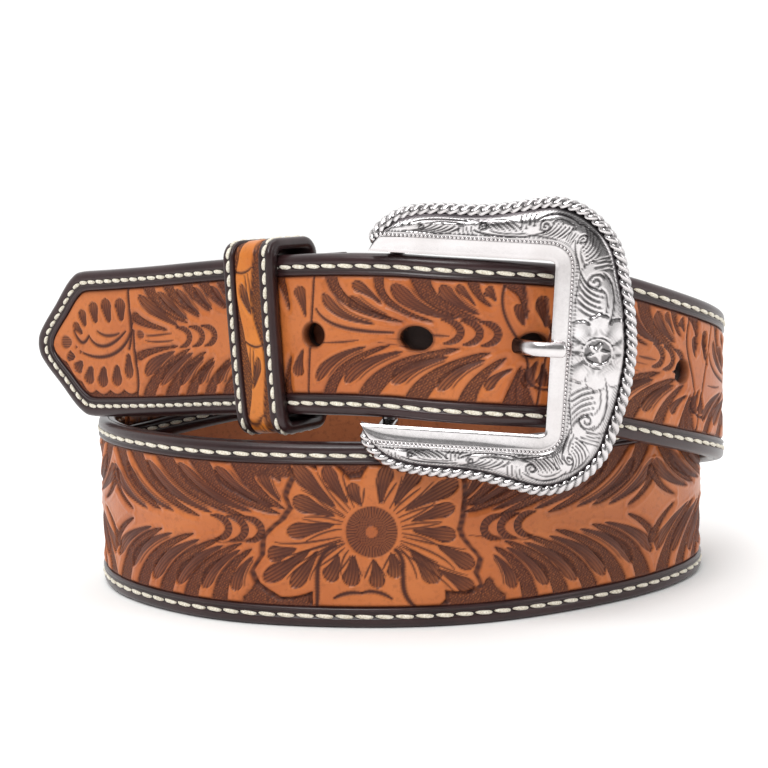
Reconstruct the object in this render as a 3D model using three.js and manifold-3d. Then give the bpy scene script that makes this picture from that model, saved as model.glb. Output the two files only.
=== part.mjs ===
import * as THREE from 'three';
import Module from 'manifold-3d';
import { mergeVertices } from 'three/addons/utils/BufferGeometryUtils.js';

const wasm = await Module();
wasm.setup();

// A fastened western belt lying coiled in two turns, standing on its lower edge.
// Millimetres, +Z up. The front of the coil, with the buckle, looks along -Y.
// Every leather piece is laid out flat first: `along` runs from the point of the tip to the
// bar of the buckle, `deep` from the outer face inwards, `across` from the middle to an edge.

// Coil
const COIL_HALF = 80;
const LONGEST_STEP = 12;
const TURN_PER_STEP = 7.6 * Math.PI / 180;

// Strap
const BODY_WIDTH = 44;
const BILLET_WIDTH = 37.6;
const FACE_THICK = 2.4;
const PANEL_THICK = 0.9;
const LINING_THICK = 1.8;
const GAP = 0.3;
const STRAP_THICK = FACE_THICK + GAP + LINING_THICK;
const BILLET_RUN = 235;
const TAPER_RUN = 110;
const CHAPE_RUN = 85;
const POINT_LENGTH = 16.5;
const EDGE_ROUND = 1.3;
const BORDER = 5;
const FIELD_START = 6.5;
const FIELD_POINT = 12.5;

// Holes, counted from the tip
const HOLE_PITCH = 25.4;
const HOLE_ONE = 92.5;
const HOLE_RADIUS = 2.85;
const HOLE_STRETCH = [0, 2.2, 2.2, 0, 0];
const HOLE_SHIFT = [0, 0, 1.9, 0, 0];

// Buckle
const BUCKLE_HALF_LENGTH = 31;
const BUCKLE_HALF_HEIGHT = 34;
const WINDOW_HALF = 19.7;
const FRAME_THICK = 3.4;
const DOME = 1.6;
const ROPE_RADIUS = 1.5;
const BAR_RADIUS = 1.75;
const BAR_AT = -25;
const BAR_DEPTH = 8.6;
const BAR_ROOM = 0.25;
const BUCKLE_TURN = -6.5 * Math.PI / 180;
const PRONG_WIDE = 3.8;
const PRONG_THICK = 2.2;

// Keeper loop, and the fold that holds the bar
const KEEPER_AT = COIL_HALF * 0.965;
const KEEPER_WIDE = 14.5;
const KEEPER_THICK = 2.8;
const KEEPER_PANEL_WIDE = 7;
const KEEPER_ROOM_TOP = 1.3;
const KEEPER_ROOM_LOW = 1.9;
const FOLD_LENGTH = COIL_HALF * 0.7;
const FOLD_HALF = 17.8;
const SNAP_RADIUS = 5;
const SNAPS_FROM_BAR = [COIL_HALF * 0.2, COIL_HALF * 0.588];

// Route of the strap's outer face from the tip to the bar.
// side and depth: shares of COIL_HALF. lift: height of the lower edge, share of BODY_WIDTH.
const ROUTE = [
  { side: -1.207, depth: -0.025, lift: 1.000 },
  { side: -0.970, depth: -0.195, lift: 1.028 },
  { side: -0.788, depth: -0.326, lift: 1.057 },
  { side: -0.563, depth: -0.487, lift: 1.100 },
  { side: -0.375, depth: -0.622, lift: 1.130 },
  { side: -0.269, depth: -0.691, lift: 1.141 },
  { side: -0.163, depth: -0.742, lift: 1.145 },
  { side: -0.050, depth: -0.782, lift: 1.141 },
  { side: 0.075, depth: -0.815, lift: 1.125 },
  { side: 0.200, depth: -0.831, lift: 1.109 },
  { side: 0.338, depth: -0.820, lift: 1.090 },
  { side: 0.475, depth: -0.770, lift: 1.060 },
  { side: 0.600, depth: -0.691, lift: 1.010 },
  { side: 0.725, depth: -0.591, lift: 0.939 },
  { side: 0.838, depth: -0.480, lift: 0.868 },
  { side: 0.944, depth: -0.345, lift: 0.795 },
  { side: 1.019, depth: -0.195, lift: 0.727 },
  { side: 1.054, depth: -0.025, lift: 0.660 },
  { side: 1.044, depth: 0.175, lift: 0.586 },
  { side: 0.950, depth: 0.400, lift: 0.495 },
  { side: 0.775, depth: 0.600, lift: 0.400 },
  { side: 0.525, depth: 0.738, lift: 0.302 },
  { side: 0.225, depth: 0.806, lift: 0.209 },
  { side: -0.100, depth: 0.819, lift: 0.127 },
  { side: -0.425, depth: 0.763, lift: 0.064 },
  { side: -0.713, depth: 0.619, lift: 0.020 },
  { side: -0.912, depth: 0.400, lift: 0 },
  { side: -1.006, depth: 0.150, lift: 0 },
  { side: -1.000, depth: -0.080, lift: 0 },
  { side: -0.912, depth: -0.300, lift: 0 },
  { side: -0.763, depth: -0.481, lift: 0 },
  { side: -0.563, depth: -0.628, lift: 0 },
  { side: -0.300, depth: -0.717, lift: 0 },
  { side: 0.000, depth: -0.747, lift: 0 },
  { side: 0.225, depth: -0.714, lift: 0 },
  { side: 0.463, depth: -0.610, lift: 0 },
  { side: 0.700, depth: -0.450, lift: 0 },
  { side: 0.875, depth: -0.270, lift: 0 },
  { side: 0.979, depth: -0.060, lift: 0 },
  { side: 0.982, depth: 0.160, lift: 0 },
  { side: 0.893, depth: 0.369, lift: 0.009 },
  { side: 0.734, depth: 0.551, lift: 0.041 },
  { side: 0.500, depth: 0.680, lift: 0.100 },
  { side: 0.217, depth: 0.744, lift: 0.186 },
  { side: -0.095, depth: 0.753, lift: 0.295 },
  { side: -0.403, depth: 0.696, lift: 0.418 },
  { side: -0.669, depth: 0.562, lift: 0.541 },
  { side: -0.848, depth: 0.368, lift: 0.650 },
  { side: -0.930, depth: 0.140, lift: 0.752 },
  { side: -0.913, depth: -0.048, lift: 0.827 },
  { side: -0.842, depth: -0.173, lift: 0.884 },
  { side: -0.746, depth: -0.268, lift: 0.945 },
  { side: -0.636, depth: -0.354, lift: 1.007 },
  { side: -0.524, depth: -0.435, lift: 1.061 },
  { side: -0.423, depth: -0.508, lift: 1.095 },
  { side: -0.336, depth: -0.570, lift: 1.118 },
  { side: -0.230, depth: -0.638, lift: 1.138 },
  { side: -0.132, depth: -0.684, lift: 1.147 },
  { side: -0.050, depth: -0.714, lift: 1.137 },
];

// Outline of the buckle frame, upper half, from the arm's end to the right side.
// Shares of the half length and half height; the in columns run along the window.
const OUTLINE = [
  { outX: -1.000, outY: 0.640, inX: -0.985, inY: 0 },
  { outX: -0.975, outY: 0.710, inX: -0.950, inY: 0 },
  { outX: -0.905, outY: 0.790, inX: -0.890, inY: 0 },
  { outX: -0.775, outY: 0.870, inX: -0.790, inY: 0 },
  { outX: -0.610, outY: 0.910, inX: -0.620, inY: 0 },
  { outX: -0.400, outY: 0.920, inX: -0.400, inY: 0 },
  { outX: -0.160, outY: 0.924, inX: -0.180, inY: 0 },
  { outX: 0.040, outY: 0.950, inX: 0.020, inY: 0 },
  { outX: 0.210, outY: 0.983, inX: 0.190, inY: 0 },
  { outX: 0.345, outY: 1.000, inX: 0.320, inY: 0 },
  { outX: 0.490, outY: 0.980, inX: 0.352, inY: 0.010 },
  { outX: 0.640, outY: 0.912, inX: 0.368, inY: 0.025 },
  { outX: 0.765, outY: 0.808, inX: 0.375, inY: 0.045 },
  { outX: 0.855, outY: 0.680, inX: 0.377, inY: 0.085 },
  { outX: 0.905, outY: 0.530, inX: 0.377, inY: 0.260 },
  { outX: 0.955, outY: 0.350, inX: 0.377, inY: 0.520 },
  { outX: 0.985, outY: 0.175, inX: 0.377, inY: 0.770 },
  { outX: 1.000, outY: 0.000, inX: 0.377, inY: 1.000 },
];

// Outline of the English point: shares of its length and of the half width behind it
const POINT = [
  { along: 0, half: 0.10 },
  { along: 0.05, half: 0.20 },
  { along: 0.45, half: 0.555 },
  { along: 0.85, half: 0.915 },
  { along: 1, half: 0.985 },
  { along: 1.15, half: 1 },
];

// Middle of the prong from the bar to its tip, in the buckle's own plane.
// x: distance from the buckle's middle; front: distance in front of the frame's back.
// Both are shares of BUCKLE_HALF_LENGTH.
const PRONG = [
  { x: -0.723, front: -0.2129 },
  { x: -0.581, front: -0.1419 },
  { x: -0.387, front: -0.1065 },
  { x: -0.194, front: -0.1065 },
  { x: -0.058, front: -0.1258 },
  { x: 0.010, front: -0.0968 },
  { x: 0.077, front: -0.0258 },
  { x: 0.145, front: 0.0484 },
  { x: 0.210, front: 0.1194 },
  { x: 0.271, front: 0.1613 },
  { x: 0.339, front: 0.1710 },
  { x: 0.426, front: 0.1661 },
  { x: 0.490, front: 0.1613 },
];

const lerp = (a, b, t) => a + (b - a) * t;
const clamp = (v, low, high) => Math.min(high, Math.max(low, v));
const smooth = (t) => t * t * (3 - 2 * t);

// Natural cubic spline through values at rising knots
function spline(knots, values) {
  const n = knots.length;
  const h = knots.slice(1).map((k, i) => k - knots[i]);
  const diag = new Array(n).fill(1);
  const right = new Array(n).fill(0);
  const upper = new Array(n).fill(0);
  for (let i = 1; i < n - 1; i++) {
    const slopeAfter = (values[i + 1] - values[i]) / h[i];
    const slopeBefore = (values[i] - values[i - 1]) / h[i - 1];
    const factor = h[i - 1] / diag[i - 1];
    diag[i] = 2 * (h[i - 1] + h[i]) - factor * upper[i - 1];
    right[i] = 6 * (slopeAfter - slopeBefore) - factor * right[i - 1];
    upper[i] = h[i];
  }
  const bend = new Array(n).fill(0);
  for (let i = n - 2; i > 0; i--) {
    bend[i] = (right[i] - upper[i] * bend[i + 1]) / diag[i];
  }
  return (k) => {
    let i = 0;
    while (i < n - 2 && k > knots[i + 1]) i++;
    const a = (knots[i + 1] - k) / h[i];
    const b = (k - knots[i]) / h[i];
    const cubic = ((a ** 3 - a) * bend[i] + (b ** 3 - b) * bend[i + 1]) * h[i] * h[i] / 6;
    return a * values[i] + b * values[i + 1] + cubic;
  };
}

// Curve that never overshoots its values, so level runs stay exactly level
function levelCurve(knots, values) {
  const n = knots.length;
  const rise = values.slice(1).map((v, i) => (v - values[i]) / (knots[i + 1] - knots[i]));
  const slope = values.map((v, i) => {
    if (i === 0) return rise[0];
    if (i === n - 1) return rise[n - 2];
    if (rise[i - 1] * rise[i] <= 0) return 0;
    return 2 * rise[i - 1] * rise[i] / (rise[i - 1] + rise[i]);
  });
  return (k) => {
    let i = 0;
    while (i < n - 2 && k > knots[i + 1]) i++;
    const h = knots[i + 1] - knots[i];
    const t = (k - knots[i]) / h;
    const fromStart = (1 + 2 * t) * (1 - t) ** 2 * values[i] + t * (1 - t) ** 2 * h * slope[i];
    const fromEnd = t * t * (3 - 2 * t) * values[i + 1] + t * t * (t - 1) * h * slope[i + 1];
    return fromStart + fromEnd;
  };
}

// Route measured by its own length
const routeKnots = [0];
for (let i = 1; i < ROUTE.length; i++) {
  const dx = (ROUTE[i].side - ROUTE[i - 1].side) * COIL_HALF;
  const dy = (ROUTE[i].depth - ROUTE[i - 1].depth) * COIL_HALF;
  routeKnots.push(routeKnots[i - 1] + Math.hypot(dx, dy));
}
const sideAt = spline(routeKnots, ROUTE.map((r) => r.side * COIL_HALF));
const depthAt = spline(routeKnots, ROUTE.map((r) => r.depth * COIL_HALF));
const liftAt = levelCurve(routeKnots, ROUTE.map((r) => r.lift * BODY_WIDTH));
const FINE = 0.5;
const fineCount = Math.ceil(routeKnots[routeKnots.length - 1] / FINE);
const lengthTable = [0];
for (let i = 1; i <= fineCount; i++) {
  const a = routeKnots[routeKnots.length - 1] * (i - 1) / fineCount;
  const b = routeKnots[routeKnots.length - 1] * i / fineCount;
  const step = Math.hypot(sideAt(b) - sideAt(a), depthAt(b) - depthAt(a), liftAt(b) - liftAt(a));
  lengthTable.push(lengthTable[i - 1] + step);
}
const BELT_LENGTH = lengthTable[fineCount];

function knotAt(along) {
  let low = 0;
  let high = fineCount;
  while (high - low > 1) {
    const middle = (low + high) >> 1;
    if (lengthTable[middle] > along) high = middle;
    else low = middle;
  }
  const share = (along - lengthTable[low]) / (lengthTable[high] - lengthTable[low]);
  return routeKnots[routeKnots.length - 1] * (low + share) / fineCount;
}

// Half width of the finished strap, without the cut of the point
function halfWidth(along) {
  const fromTip = smooth(clamp((along - BILLET_RUN) / TAPER_RUN, 0, 1));
  const fromBar = smooth(clamp((BELT_LENGTH - CHAPE_RUN - along) / TAPER_RUN, 0, 1));
  return lerp(BILLET_WIDTH, BODY_WIDTH, Math.min(fromTip, fromBar)) / 2;
}

function routePoint(along) {
  const inside = clamp(along, 0, BELT_LENGTH);
  const k = knotAt(inside);
  return new THREE.Vector3(sideAt(k), depthAt(k), liftAt(k) + halfWidth(inside));
}

// Point in space for a place on the flat strap; past either end the route runs on straight
function place(along, deep, across) {
  const inside = clamp(along, 0, BELT_LENGTH);
  const before = routePoint(Math.max(0, inside - 0.8));
  const after = routePoint(Math.min(BELT_LENGTH, inside + 0.8));
  const ahead = after.sub(before).normalize();
  const level = Math.hypot(ahead.x, ahead.y);
  const inward = new THREE.Vector3(-ahead.y / level, ahead.x / level, 0);
  const up = new THREE.Vector3(-ahead.z * ahead.x / level, -ahead.z * ahead.y / level, level);
  return routePoint(inside)
    .addScaledVector(ahead, along - inside)
    .addScaledVector(inward, deep)
    .addScaledVector(up, across);
}

// Closed solid from rings of points; a closed chain of rings needs no ends
function loft(rings, closed = false) {
  const corners = rings[0].length;
  const positions = [];
  for (const ring of rings) for (const p of ring) positions.push(p.x, p.y, p.z);
  const index = [];
  const spans = closed ? rings.length : rings.length - 1;
  for (let r = 0; r < spans; r++) {
    for (let c = 0; c < corners; c++) {
      const next = (r + 1) % rings.length;
      const a = r * corners + c;
      const b = r * corners + (c + 1) % corners;
      const d = next * corners + c;
      const e = next * corners + (c + 1) % corners;
      // The same diagonal on both faces keeps layers parallel where the strap twists
      if (c < corners / 2) index.push(a, b, e, a, e, d);
      else index.push(a, b, d, b, e, d);
    }
  }
  const last = (rings.length - 1) * corners;
  for (let c = 1; c < corners - 1 && !closed; c++) {
    index.push(0, c + 1, c, last, last + c, last + c + 1);
  }
  const geometry = new THREE.BufferGeometry();
  geometry.setAttribute('position', new THREE.Float32BufferAttribute(positions, 3));
  geometry.setIndex(index);
  return toSolid(geometry);
}

function toSolid(source) {
  const geometry = source.clone();
  geometry.deleteAttribute('normal');
  geometry.deleteAttribute('uv');
  const merged = mergeVertices(geometry, 1e-4);
  const vertProperties = new Float32Array(merged.attributes.position.array);
  const triVerts = new Uint32Array(merged.index.array);
  const solid = new wasm.Manifold(new wasm.Mesh({ numProp: 3, vertProperties, triVerts }));
  if (solid.volume() >= 0) return solid;
  for (let i = 0; i < triVerts.length; i += 3) {
    [triVerts[i], triVerts[i + 1]] = [triVerts[i + 1], triVerts[i]];
  }
  return new wasm.Manifold(new wasm.Mesh({ numProp: 3, vertProperties, triVerts }));
}

const group = new THREE.Group();
group.name = 'western_tooled_belt';

function addPiece(name, solid, material) {
  const mesh = solid.getMesh();
  const geometry = new THREE.BufferGeometry();
  geometry.setAttribute('position', new THREE.Float32BufferAttribute(mesh.vertProperties, 3));
  geometry.setIndex(new THREE.Uint32BufferAttribute(mesh.triVerts, 1));
  const piece = new THREE.Mesh(geometry, material);
  piece.name = name;
  group.add(piece);
}

function look(name, color, roughness, metalness) {
  const material = new THREE.MeshStandardMaterial({ color, roughness, metalness });
  material.name = name;
  return material;
}

// Even steps between two places
function evenSteps(from, to, step) {
  const count = Math.max(1, Math.round((to - from) / step));
  return Array.from({ length: count + 1 }, (_, i) => lerp(from, to, i / count));
}

// Stations shared by all layers, closer together where the strap bends more
const WALK = 0.75;
const heading = (along) => {
  const before = routePoint(along - WALK);
  const after = routePoint(along + WALK);
  return after.sub(before).normalize();
};
const sharedStations = [WALK];
let lastHeading = heading(WALK + 0.01);
for (let along = 2 * WALK; along < BELT_LENGTH - WALK; along += WALK) {
  const now = heading(along);
  const turned = now.angleTo(lastHeading);
  if (turned < TURN_PER_STEP && along - sharedStations[sharedStations.length - 1] < LONGEST_STEP) continue;
  sharedStations.push(along);
  lastHeading = now;
}
const CLOSEST = 2.5;
function stations(from, to) {
  const between = sharedStations.filter((along) => along > from + CLOSEST && along < to - CLOSEST);
  return [from, ...between, to];
}

// Half width of an outline that starts as a point
function pointedHalf(along, start, length, full) {
  const share = (along - start) / length;
  const last = POINT[POINT.length - 1];
  if (share >= last.along) return full;
  let i = 0;
  while (i < POINT.length - 2 && share > POINT[i + 1].along) i++;
  const t = (share - POINT[i].along) / (POINT[i + 1].along - POINT[i].along);
  return full * lerp(POINT[i].half, POINT[i + 1].half, clamp(t, 0, 1));
}

function pointStations(start, length, to) {
  const tip = POINT.map((row) => start + row.along * length);
  return [...tip, ...stations(tip[tip.length - 1], to).slice(1)];
}

// Section of a layer. `seat` says where its outer face lies and which way its depth runs.
function section(seat, half, deepFrom, deepTo, roundFrom, roundTo) {
  const ring = [];
  const push = (deep, across) => {
    ring.push(place(seat.along + deep * seat.turn, seat.deep + deep * seat.into, across));
  };
  const edge = 0.75;
  push(deepFrom, -half + roundFrom);
  push(deepFrom, half - roundFrom);
  if (roundFrom > 0) push(deepFrom + roundFrom * edge, half);
  if (roundTo > 0) push(deepTo - roundTo * edge, half);
  push(deepTo, half - roundTo);
  push(deepTo, -half + roundTo);
  if (roundTo > 0) push(deepTo - roundTo * edge, -half);
  if (roundFrom > 0) push(deepFrom + roundFrom * edge, -half);
  return ring;
}

const flatSeat = (along) => ({ along, deep: 0, turn: 0, into: 1 });

// Round or oval plug through the strap
function plug(along, radius, stretch, deepFrom, deepTo, sides = 16) {
  const ring = (deep) => Array.from({ length: sides }, (_, i) => {
    const angle = 2 * Math.PI * i / sides;
    const reach = radius + stretch / 2;
    return place(along + reach * Math.cos(angle), deep, radius * Math.sin(angle));
  });
  return loft([ring(deepFrom), ring(deepTo)]);
}

// Buckle: its plane is carried by the bar, and the bar stands in the fold of the strap
const FOLD_RADIUS = FACE_THICK + BAR_ROOM + BAR_RADIUS;
const barMiddle = place(BELT_LENGTH, FOLD_RADIUS, 0);
const buckleUp = place(BELT_LENGTH, FOLD_RADIUS, 1).sub(barMiddle).normalize();
const viewer = new THREE.Vector3(0, -1, 0);
const buckleFront = viewer.clone().addScaledVector(buckleUp, -viewer.dot(buckleUp)).normalize();
const buckleAlong = buckleUp.clone().cross(buckleFront).normalize();
buckleAlong.applyAxisAngle(buckleUp, BUCKLE_TURN);
buckleFront.applyAxisAngle(buckleUp, BUCKLE_TURN);

function onBuckle(x, y, front) {
  return barMiddle.clone()
    .addScaledVector(buckleAlong, x - BAR_AT)
    .addScaledVector(buckleUp, y)
    .addScaledVector(buckleFront, front + BAR_DEPTH);
}

// Prong: a bent shank with a ring round the bar
function prongShank(extra, from = 0) {
  const path = PRONG.map((row) => ({
    x: row.x * BUCKLE_HALF_LENGTH,
    front: row.front * BUCKLE_HALF_LENGTH,
  }));
  const rings = path.slice(from).map((row, i, rows) => {
    const before = rows[Math.max(0, i - 1)];
    const after = rows[Math.min(rows.length - 1, i + 1)];
    const run = Math.hypot(after.x - before.x, after.front - before.front);
    const nx = -(after.front - before.front) / run;
    const nf = (after.x - before.x) / run;
    const tip = i === rows.length - 1 ? 0.55 : 1;
    const wide = (PRONG_WIDE / 2 + extra) * tip;
    const thick = (PRONG_THICK / 2 + extra) * tip;
    const corner = 0.55;
    const shape = [
      [-1, -corner], [-corner, -1], [corner, -1], [1, -corner],
      [1, corner], [corner, 1], [-corner, 1], [-1, corner],
    ];
    return shape.map(([w, t]) => onBuckle(row.x + nx * thick * t, wide * w, row.front + nf * thick * t));
  });
  return loft(rings);
}

// Straight round rod between two heights of the buckle
function rodAcross(radius, from, to, sides = 14) {
  const ring = (y) => Array.from({ length: sides }, (_, i) => {
    const angle = 2 * Math.PI * i / sides;
    return onBuckle(BAR_AT + radius * Math.cos(angle), y, -BAR_DEPTH + radius * Math.sin(angle));
  });
  return loft([ring(from), ring(to)]);
}

const LEATHER_DARK = look('edge_leather', 0x3a2524, 0.45, 0);
const LEATHER_TAN = look('tooled_leather', 0x9c542b, 0.5, 0);
const LEATHER_AMBER = look('keeper_leather', 0xa4591c, 0.45, 0);
const LINING_LOOK = look('lining_leather', 0xb4673a, 0.6, 0);
const SILVER = look('antique_silver', 0xb9b7b3, 0.3, 1);
const SNAP_LOOK = look('snap_metal', 0x5a5450, 0.35, 1);

// Holes and the room that the bent prong needs
const holes = [0, 1, 2, 3, 4].map((i) => {
  const along = HOLE_ONE + HOLE_PITCH * i + HOLE_SHIFT[i];
  return plug(along, HOLE_RADIUS, HOLE_STRETCH[i], -2, STRAP_THICK + 1);
});
const prongRoom = prongShank(0.35, 4);
const cutHoles = (solid) => {
  let result = solid;
  for (const hole of holes) result = result.subtract(hole);
  return result.subtract(prongRoom);
};

// Face leather: from the point, round the coil, round the bar and back along the inside
const FOLD_RAMP = 10;
const foldBack = STRAP_THICK + GAP + FACE_THICK;
const faceSeats = pointStations(0, POINT_LENGTH, BELT_LENGTH - 9).map((along) => ({
  seat: flatSeat(along),
  half: pointedHalf(along, 0, POINT_LENGTH, halfWidth(along)),
}));
for (const back of [5, 0]) {
  faceSeats.push({ seat: flatSeat(BELT_LENGTH - back), half: FOLD_HALF });
}
const BEND_STEPS = 8;
for (let i = 1; i <= BEND_STEPS; i++) {
  const angle = Math.PI * i / BEND_STEPS;
  const seat = {
    along: BELT_LENGTH + FOLD_RADIUS * Math.sin(angle),
    deep: FOLD_RADIUS * (1 - Math.cos(angle)),
    turn: -Math.sin(angle),
    into: Math.cos(angle),
  };
  faceSeats.push({ seat, half: FOLD_HALF });
}
for (const along of evenSteps(FOLD_RAMP, FOLD_LENGTH, 9)) {
  const seat = { along: BELT_LENGTH - along, deep: foldBack, turn: 0, into: -1 };
  faceSeats.push({ seat, half: FOLD_HALF });
}
let face = loft(faceSeats.map(({ seat, half }) => section(seat, half, 0, FACE_THICK, EDGE_ROUND, 0)));

// Tooled field, let into the face
const FIELD_END = BELT_LENGTH - 30;
const RECESS = PANEL_THICK + GAP;
const fieldRings = (grow, deepFrom, deepTo) => {
  const start = FIELD_START - grow * 1.3;
  const rows = pointStations(FIELD_START, FIELD_POINT, FIELD_END);
  return rows.map((row, i) => {
    const along = i === 0 ? start : i === rows.length - 1 ? row + grow : row;
    const full = halfWidth(row) - BORDER;
    const half = pointedHalf(row, FIELD_START, FIELD_POINT, full) + grow;
    return section(flatSeat(along), half, deepFrom, deepTo, 0, 0);
  });
};
face = cutHoles(face.subtract(loft(fieldRings(GAP, -1, RECESS))));
const panel = cutHoles(loft(fieldRings(0, 0, PANEL_THICK)));

// Lining, stopped short of the bar
const LINING_END = BELT_LENGTH - 11;
const liningFrom = FACE_THICK + GAP;
let lining = loft(pointStations(0, POINT_LENGTH, LINING_END).map((along) => {
  const half = pointedHalf(along, 0, POINT_LENGTH, halfWidth(along));
  return section(flatSeat(along), half, liningFrom, STRAP_THICK, 0, EDGE_ROUND);
}));
lining = cutHoles(lining);

// Slot of the prong in the fold
const slotHalf = PRONG_WIDE / 2 + 0.5;
const slotRing = (along) => [
  place(along, -1, -slotHalf),
  place(along, -1, slotHalf),
  place(along, 2 * FOLD_RADIUS + 1, slotHalf),
  place(along, 2 * FOLD_RADIUS + 1, -slotHalf),
];
face = face.subtract(loft([slotRing(BELT_LENGTH - 7), slotRing(BELT_LENGTH + 8)]));

// Two plain snaps close the fold on the hidden side
const snaps = SNAPS_FROM_BAR.map((fromBar) => {
  const along = BELT_LENGTH - fromBar;
  const stemEnd = liningFrom + 0.9;
  face = face.subtract(plug(along, 1.9, 0, STRAP_THICK - 0.2, foldBack + 2, 12));
  lining = lining.subtract(plug(along, 1.9, 0, stemEnd - GAP, STRAP_THICK + 1, 12));
  const capRing = (deep, radius) => Array.from({ length: 16 }, (_, i) => {
    const angle = 2 * Math.PI * i / 16;
    return place(along + radius * Math.cos(angle), deep, radius * Math.sin(angle));
  });
  const seat = foldBack + GAP;
  const cap = loft([
    capRing(seat, SNAP_RADIUS),
    capRing(seat + 0.7, SNAP_RADIUS),
    capRing(seat + 1.5, SNAP_RADIUS * 0.7),
  ]);
  return cap.add(plug(along, 1.6, 0, stemEnd, seat + 0.4, 12));
});

// Keeper loop round both thicknesses and the fold
const keeperTop = BILLET_WIDTH / 2 + KEEPER_ROOM_TOP;
const keeperLow = -BILLET_WIDTH / 2 - KEEPER_ROOM_LOW;
const keeperFront = -GAP - 0.1;
const keeperBack = STRAP_THICK + 0.5 + foldBack + 0.5;
// Turning points of the loop seen along the strap: corner shares of depth and height
const LOOP = [
  { deep: 0, across: 0.5, bulge: 0.6 },
  { deep: 0, across: 0.25, bulge: 0.55 },
  { deep: 0, across: 0.08, bulge: 0.2 },
  { deep: 0.06, across: 0.022, bulge: 0 },
  { deep: 0.22, across: 0, bulge: 0 },
  { deep: 0.5, across: 0, bulge: 0 },
  { deep: 0.78, across: 0, bulge: 0 },
  { deep: 0.94, across: 0.022, bulge: 0 },
  { deep: 1, across: 0.08, bulge: 0 },
  { deep: 1, across: 0.5, bulge: 0 },
  { deep: 1, across: 0.92, bulge: 0 },
  { deep: 0.94, across: 0.978, bulge: 0 },
  { deep: 0.78, across: 1, bulge: 0 },
  { deep: 0.5, across: 1, bulge: 0 },
  { deep: 0.22, across: 1, bulge: 0 },
  { deep: 0.06, across: 0.978, bulge: 0 },
  { deep: 0, across: 0.92, bulge: 0.2 },
  { deep: 0, across: 0.75, bulge: 0.55 },
];
const loopPoints = LOOP.map((row) => ({
  deep: lerp(keeperFront, keeperBack, row.deep),
  across: lerp(keeperLow, keeperTop, row.across),
  bulge: row.bulge,
}));
function keeperRing(i, shape) {
  const count = loopPoints.length;
  const here = loopPoints[i];
  const before = loopPoints[(i + count - 1) % count];
  const after = loopPoints[(i + 1) % count];
  const unit = (a, b) => {
    const run = Math.hypot(b.deep - a.deep, b.across - a.across);
    return [(b.across - a.across) / run, -(b.deep - a.deep) / run];
  };
  const [d1, c1] = unit(before, here);
  const [d2, c2] = unit(here, after);
  const share = 1 + d1 * d2 + c1 * c2;
  const outDeep = (d1 + d2) / share;
  const outAcross = (c1 + c2) / share;
  return shape.map(([along, out]) => {
    return place(
      KEEPER_AT - here.bulge + along,
      here.deep + outDeep * out,
      here.across + outAcross * out,
    );
  });
}
const keeperHalf = KEEPER_WIDE / 2;
const grooveHalf = KEEPER_PANEL_WIDE / 2 + GAP;
const keeperGroove = 1;
const keeperShape = [
  [-keeperHalf, 0],
  [keeperHalf, 0],
  [keeperHalf, KEEPER_THICK * 0.6],
  [keeperHalf - 0.8, KEEPER_THICK],
  [grooveHalf, KEEPER_THICK],
  [grooveHalf, KEEPER_THICK - keeperGroove],
  [-grooveHalf, KEEPER_THICK - keeperGroove],
  [-grooveHalf, KEEPER_THICK],
  [-keeperHalf + 0.8, KEEPER_THICK],
  [-keeperHalf, KEEPER_THICK * 0.6],
];
const keeper = loft(loopPoints.map((_, i) => keeperRing(i, keeperShape)), true);
const strip = KEEPER_PANEL_WIDE / 2;
const stripShape = [
  [-strip, KEEPER_THICK - keeperGroove + GAP],
  [strip, KEEPER_THICK - keeperGroove + GAP],
  [strip, KEEPER_THICK],
  [-strip, KEEPER_THICK],
];
const keeperPanel = loft(loopPoints.map((_, i) => keeperRing(i, stripShape)), true);

// Buckle frame: one casting with its rope edge, two lugs and the bar
const upperRows = OUTLINE.map((row) => ({
  outX: row.outX * BUCKLE_HALF_LENGTH,
  outY: row.outY * BUCKLE_HALF_HEIGHT,
  inX: row.inX * BUCKLE_HALF_LENGTH,
  inY: WINDOW_HALF * (1 - row.inY),
}));
const lowerRows = upperRows.slice(0, -1).reverse().map((row) => ({
  outX: row.outX,
  outY: -row.outY,
  inX: row.inX,
  inY: -row.inY,
}));
const frameRows = [...upperRows, ...lowerRows];
const ropePath = frameRows.map((row, i) => {
  const before = frameRows[Math.max(0, i - 1)];
  const after = frameRows[Math.min(frameRows.length - 1, i + 1)];
  const run = Math.hypot(after.outX - before.outX, after.outY - before.outY);
  const inX = (after.outY - before.outY) / run;
  const inY = -(after.outX - before.outX) / run;
  return { x: row.outX + inX * ROPE_RADIUS, y: row.outY + inY * ROPE_RADIUS, inX, inY };
});
// Section of the frame from the window to the rope: share of the width, height, dome
const FRAME_SECTION = [
  { share: 0, height: 0, dome: 0 },
  { share: 0, height: 0.85, dome: 0 },
  { share: 0.05, height: 1, dome: 0 },
  { share: 0.24, height: 1, dome: 0.15 },
  { share: 0.45, height: 1, dome: 0.75 },
  { share: 0.68, height: 1, dome: 0.9 },
  { share: 0.88, height: 0.95, dome: 0.3 },
  { share: 1, height: 0.7, dome: 0 },
  { share: 1, height: 0, dome: 0 },
];
const WIDEST = BUCKLE_HALF_LENGTH * (1 - 0.377);
const frameRings = frameRows.map((row, i) => {
  const rope = ropePath[i];
  const width = Math.hypot(rope.x - row.inX, rope.y - row.inY);
  return FRAME_SECTION.map((p) => onBuckle(
    lerp(row.inX, rope.x, p.share),
    lerp(row.inY, rope.y, p.share),
    FRAME_THICK * p.height + DOME * p.dome * Math.min(1, width / WIDEST),
  ));
});
let frame = loft(frameRings);
const ROPE_SIDES = 8;
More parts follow.
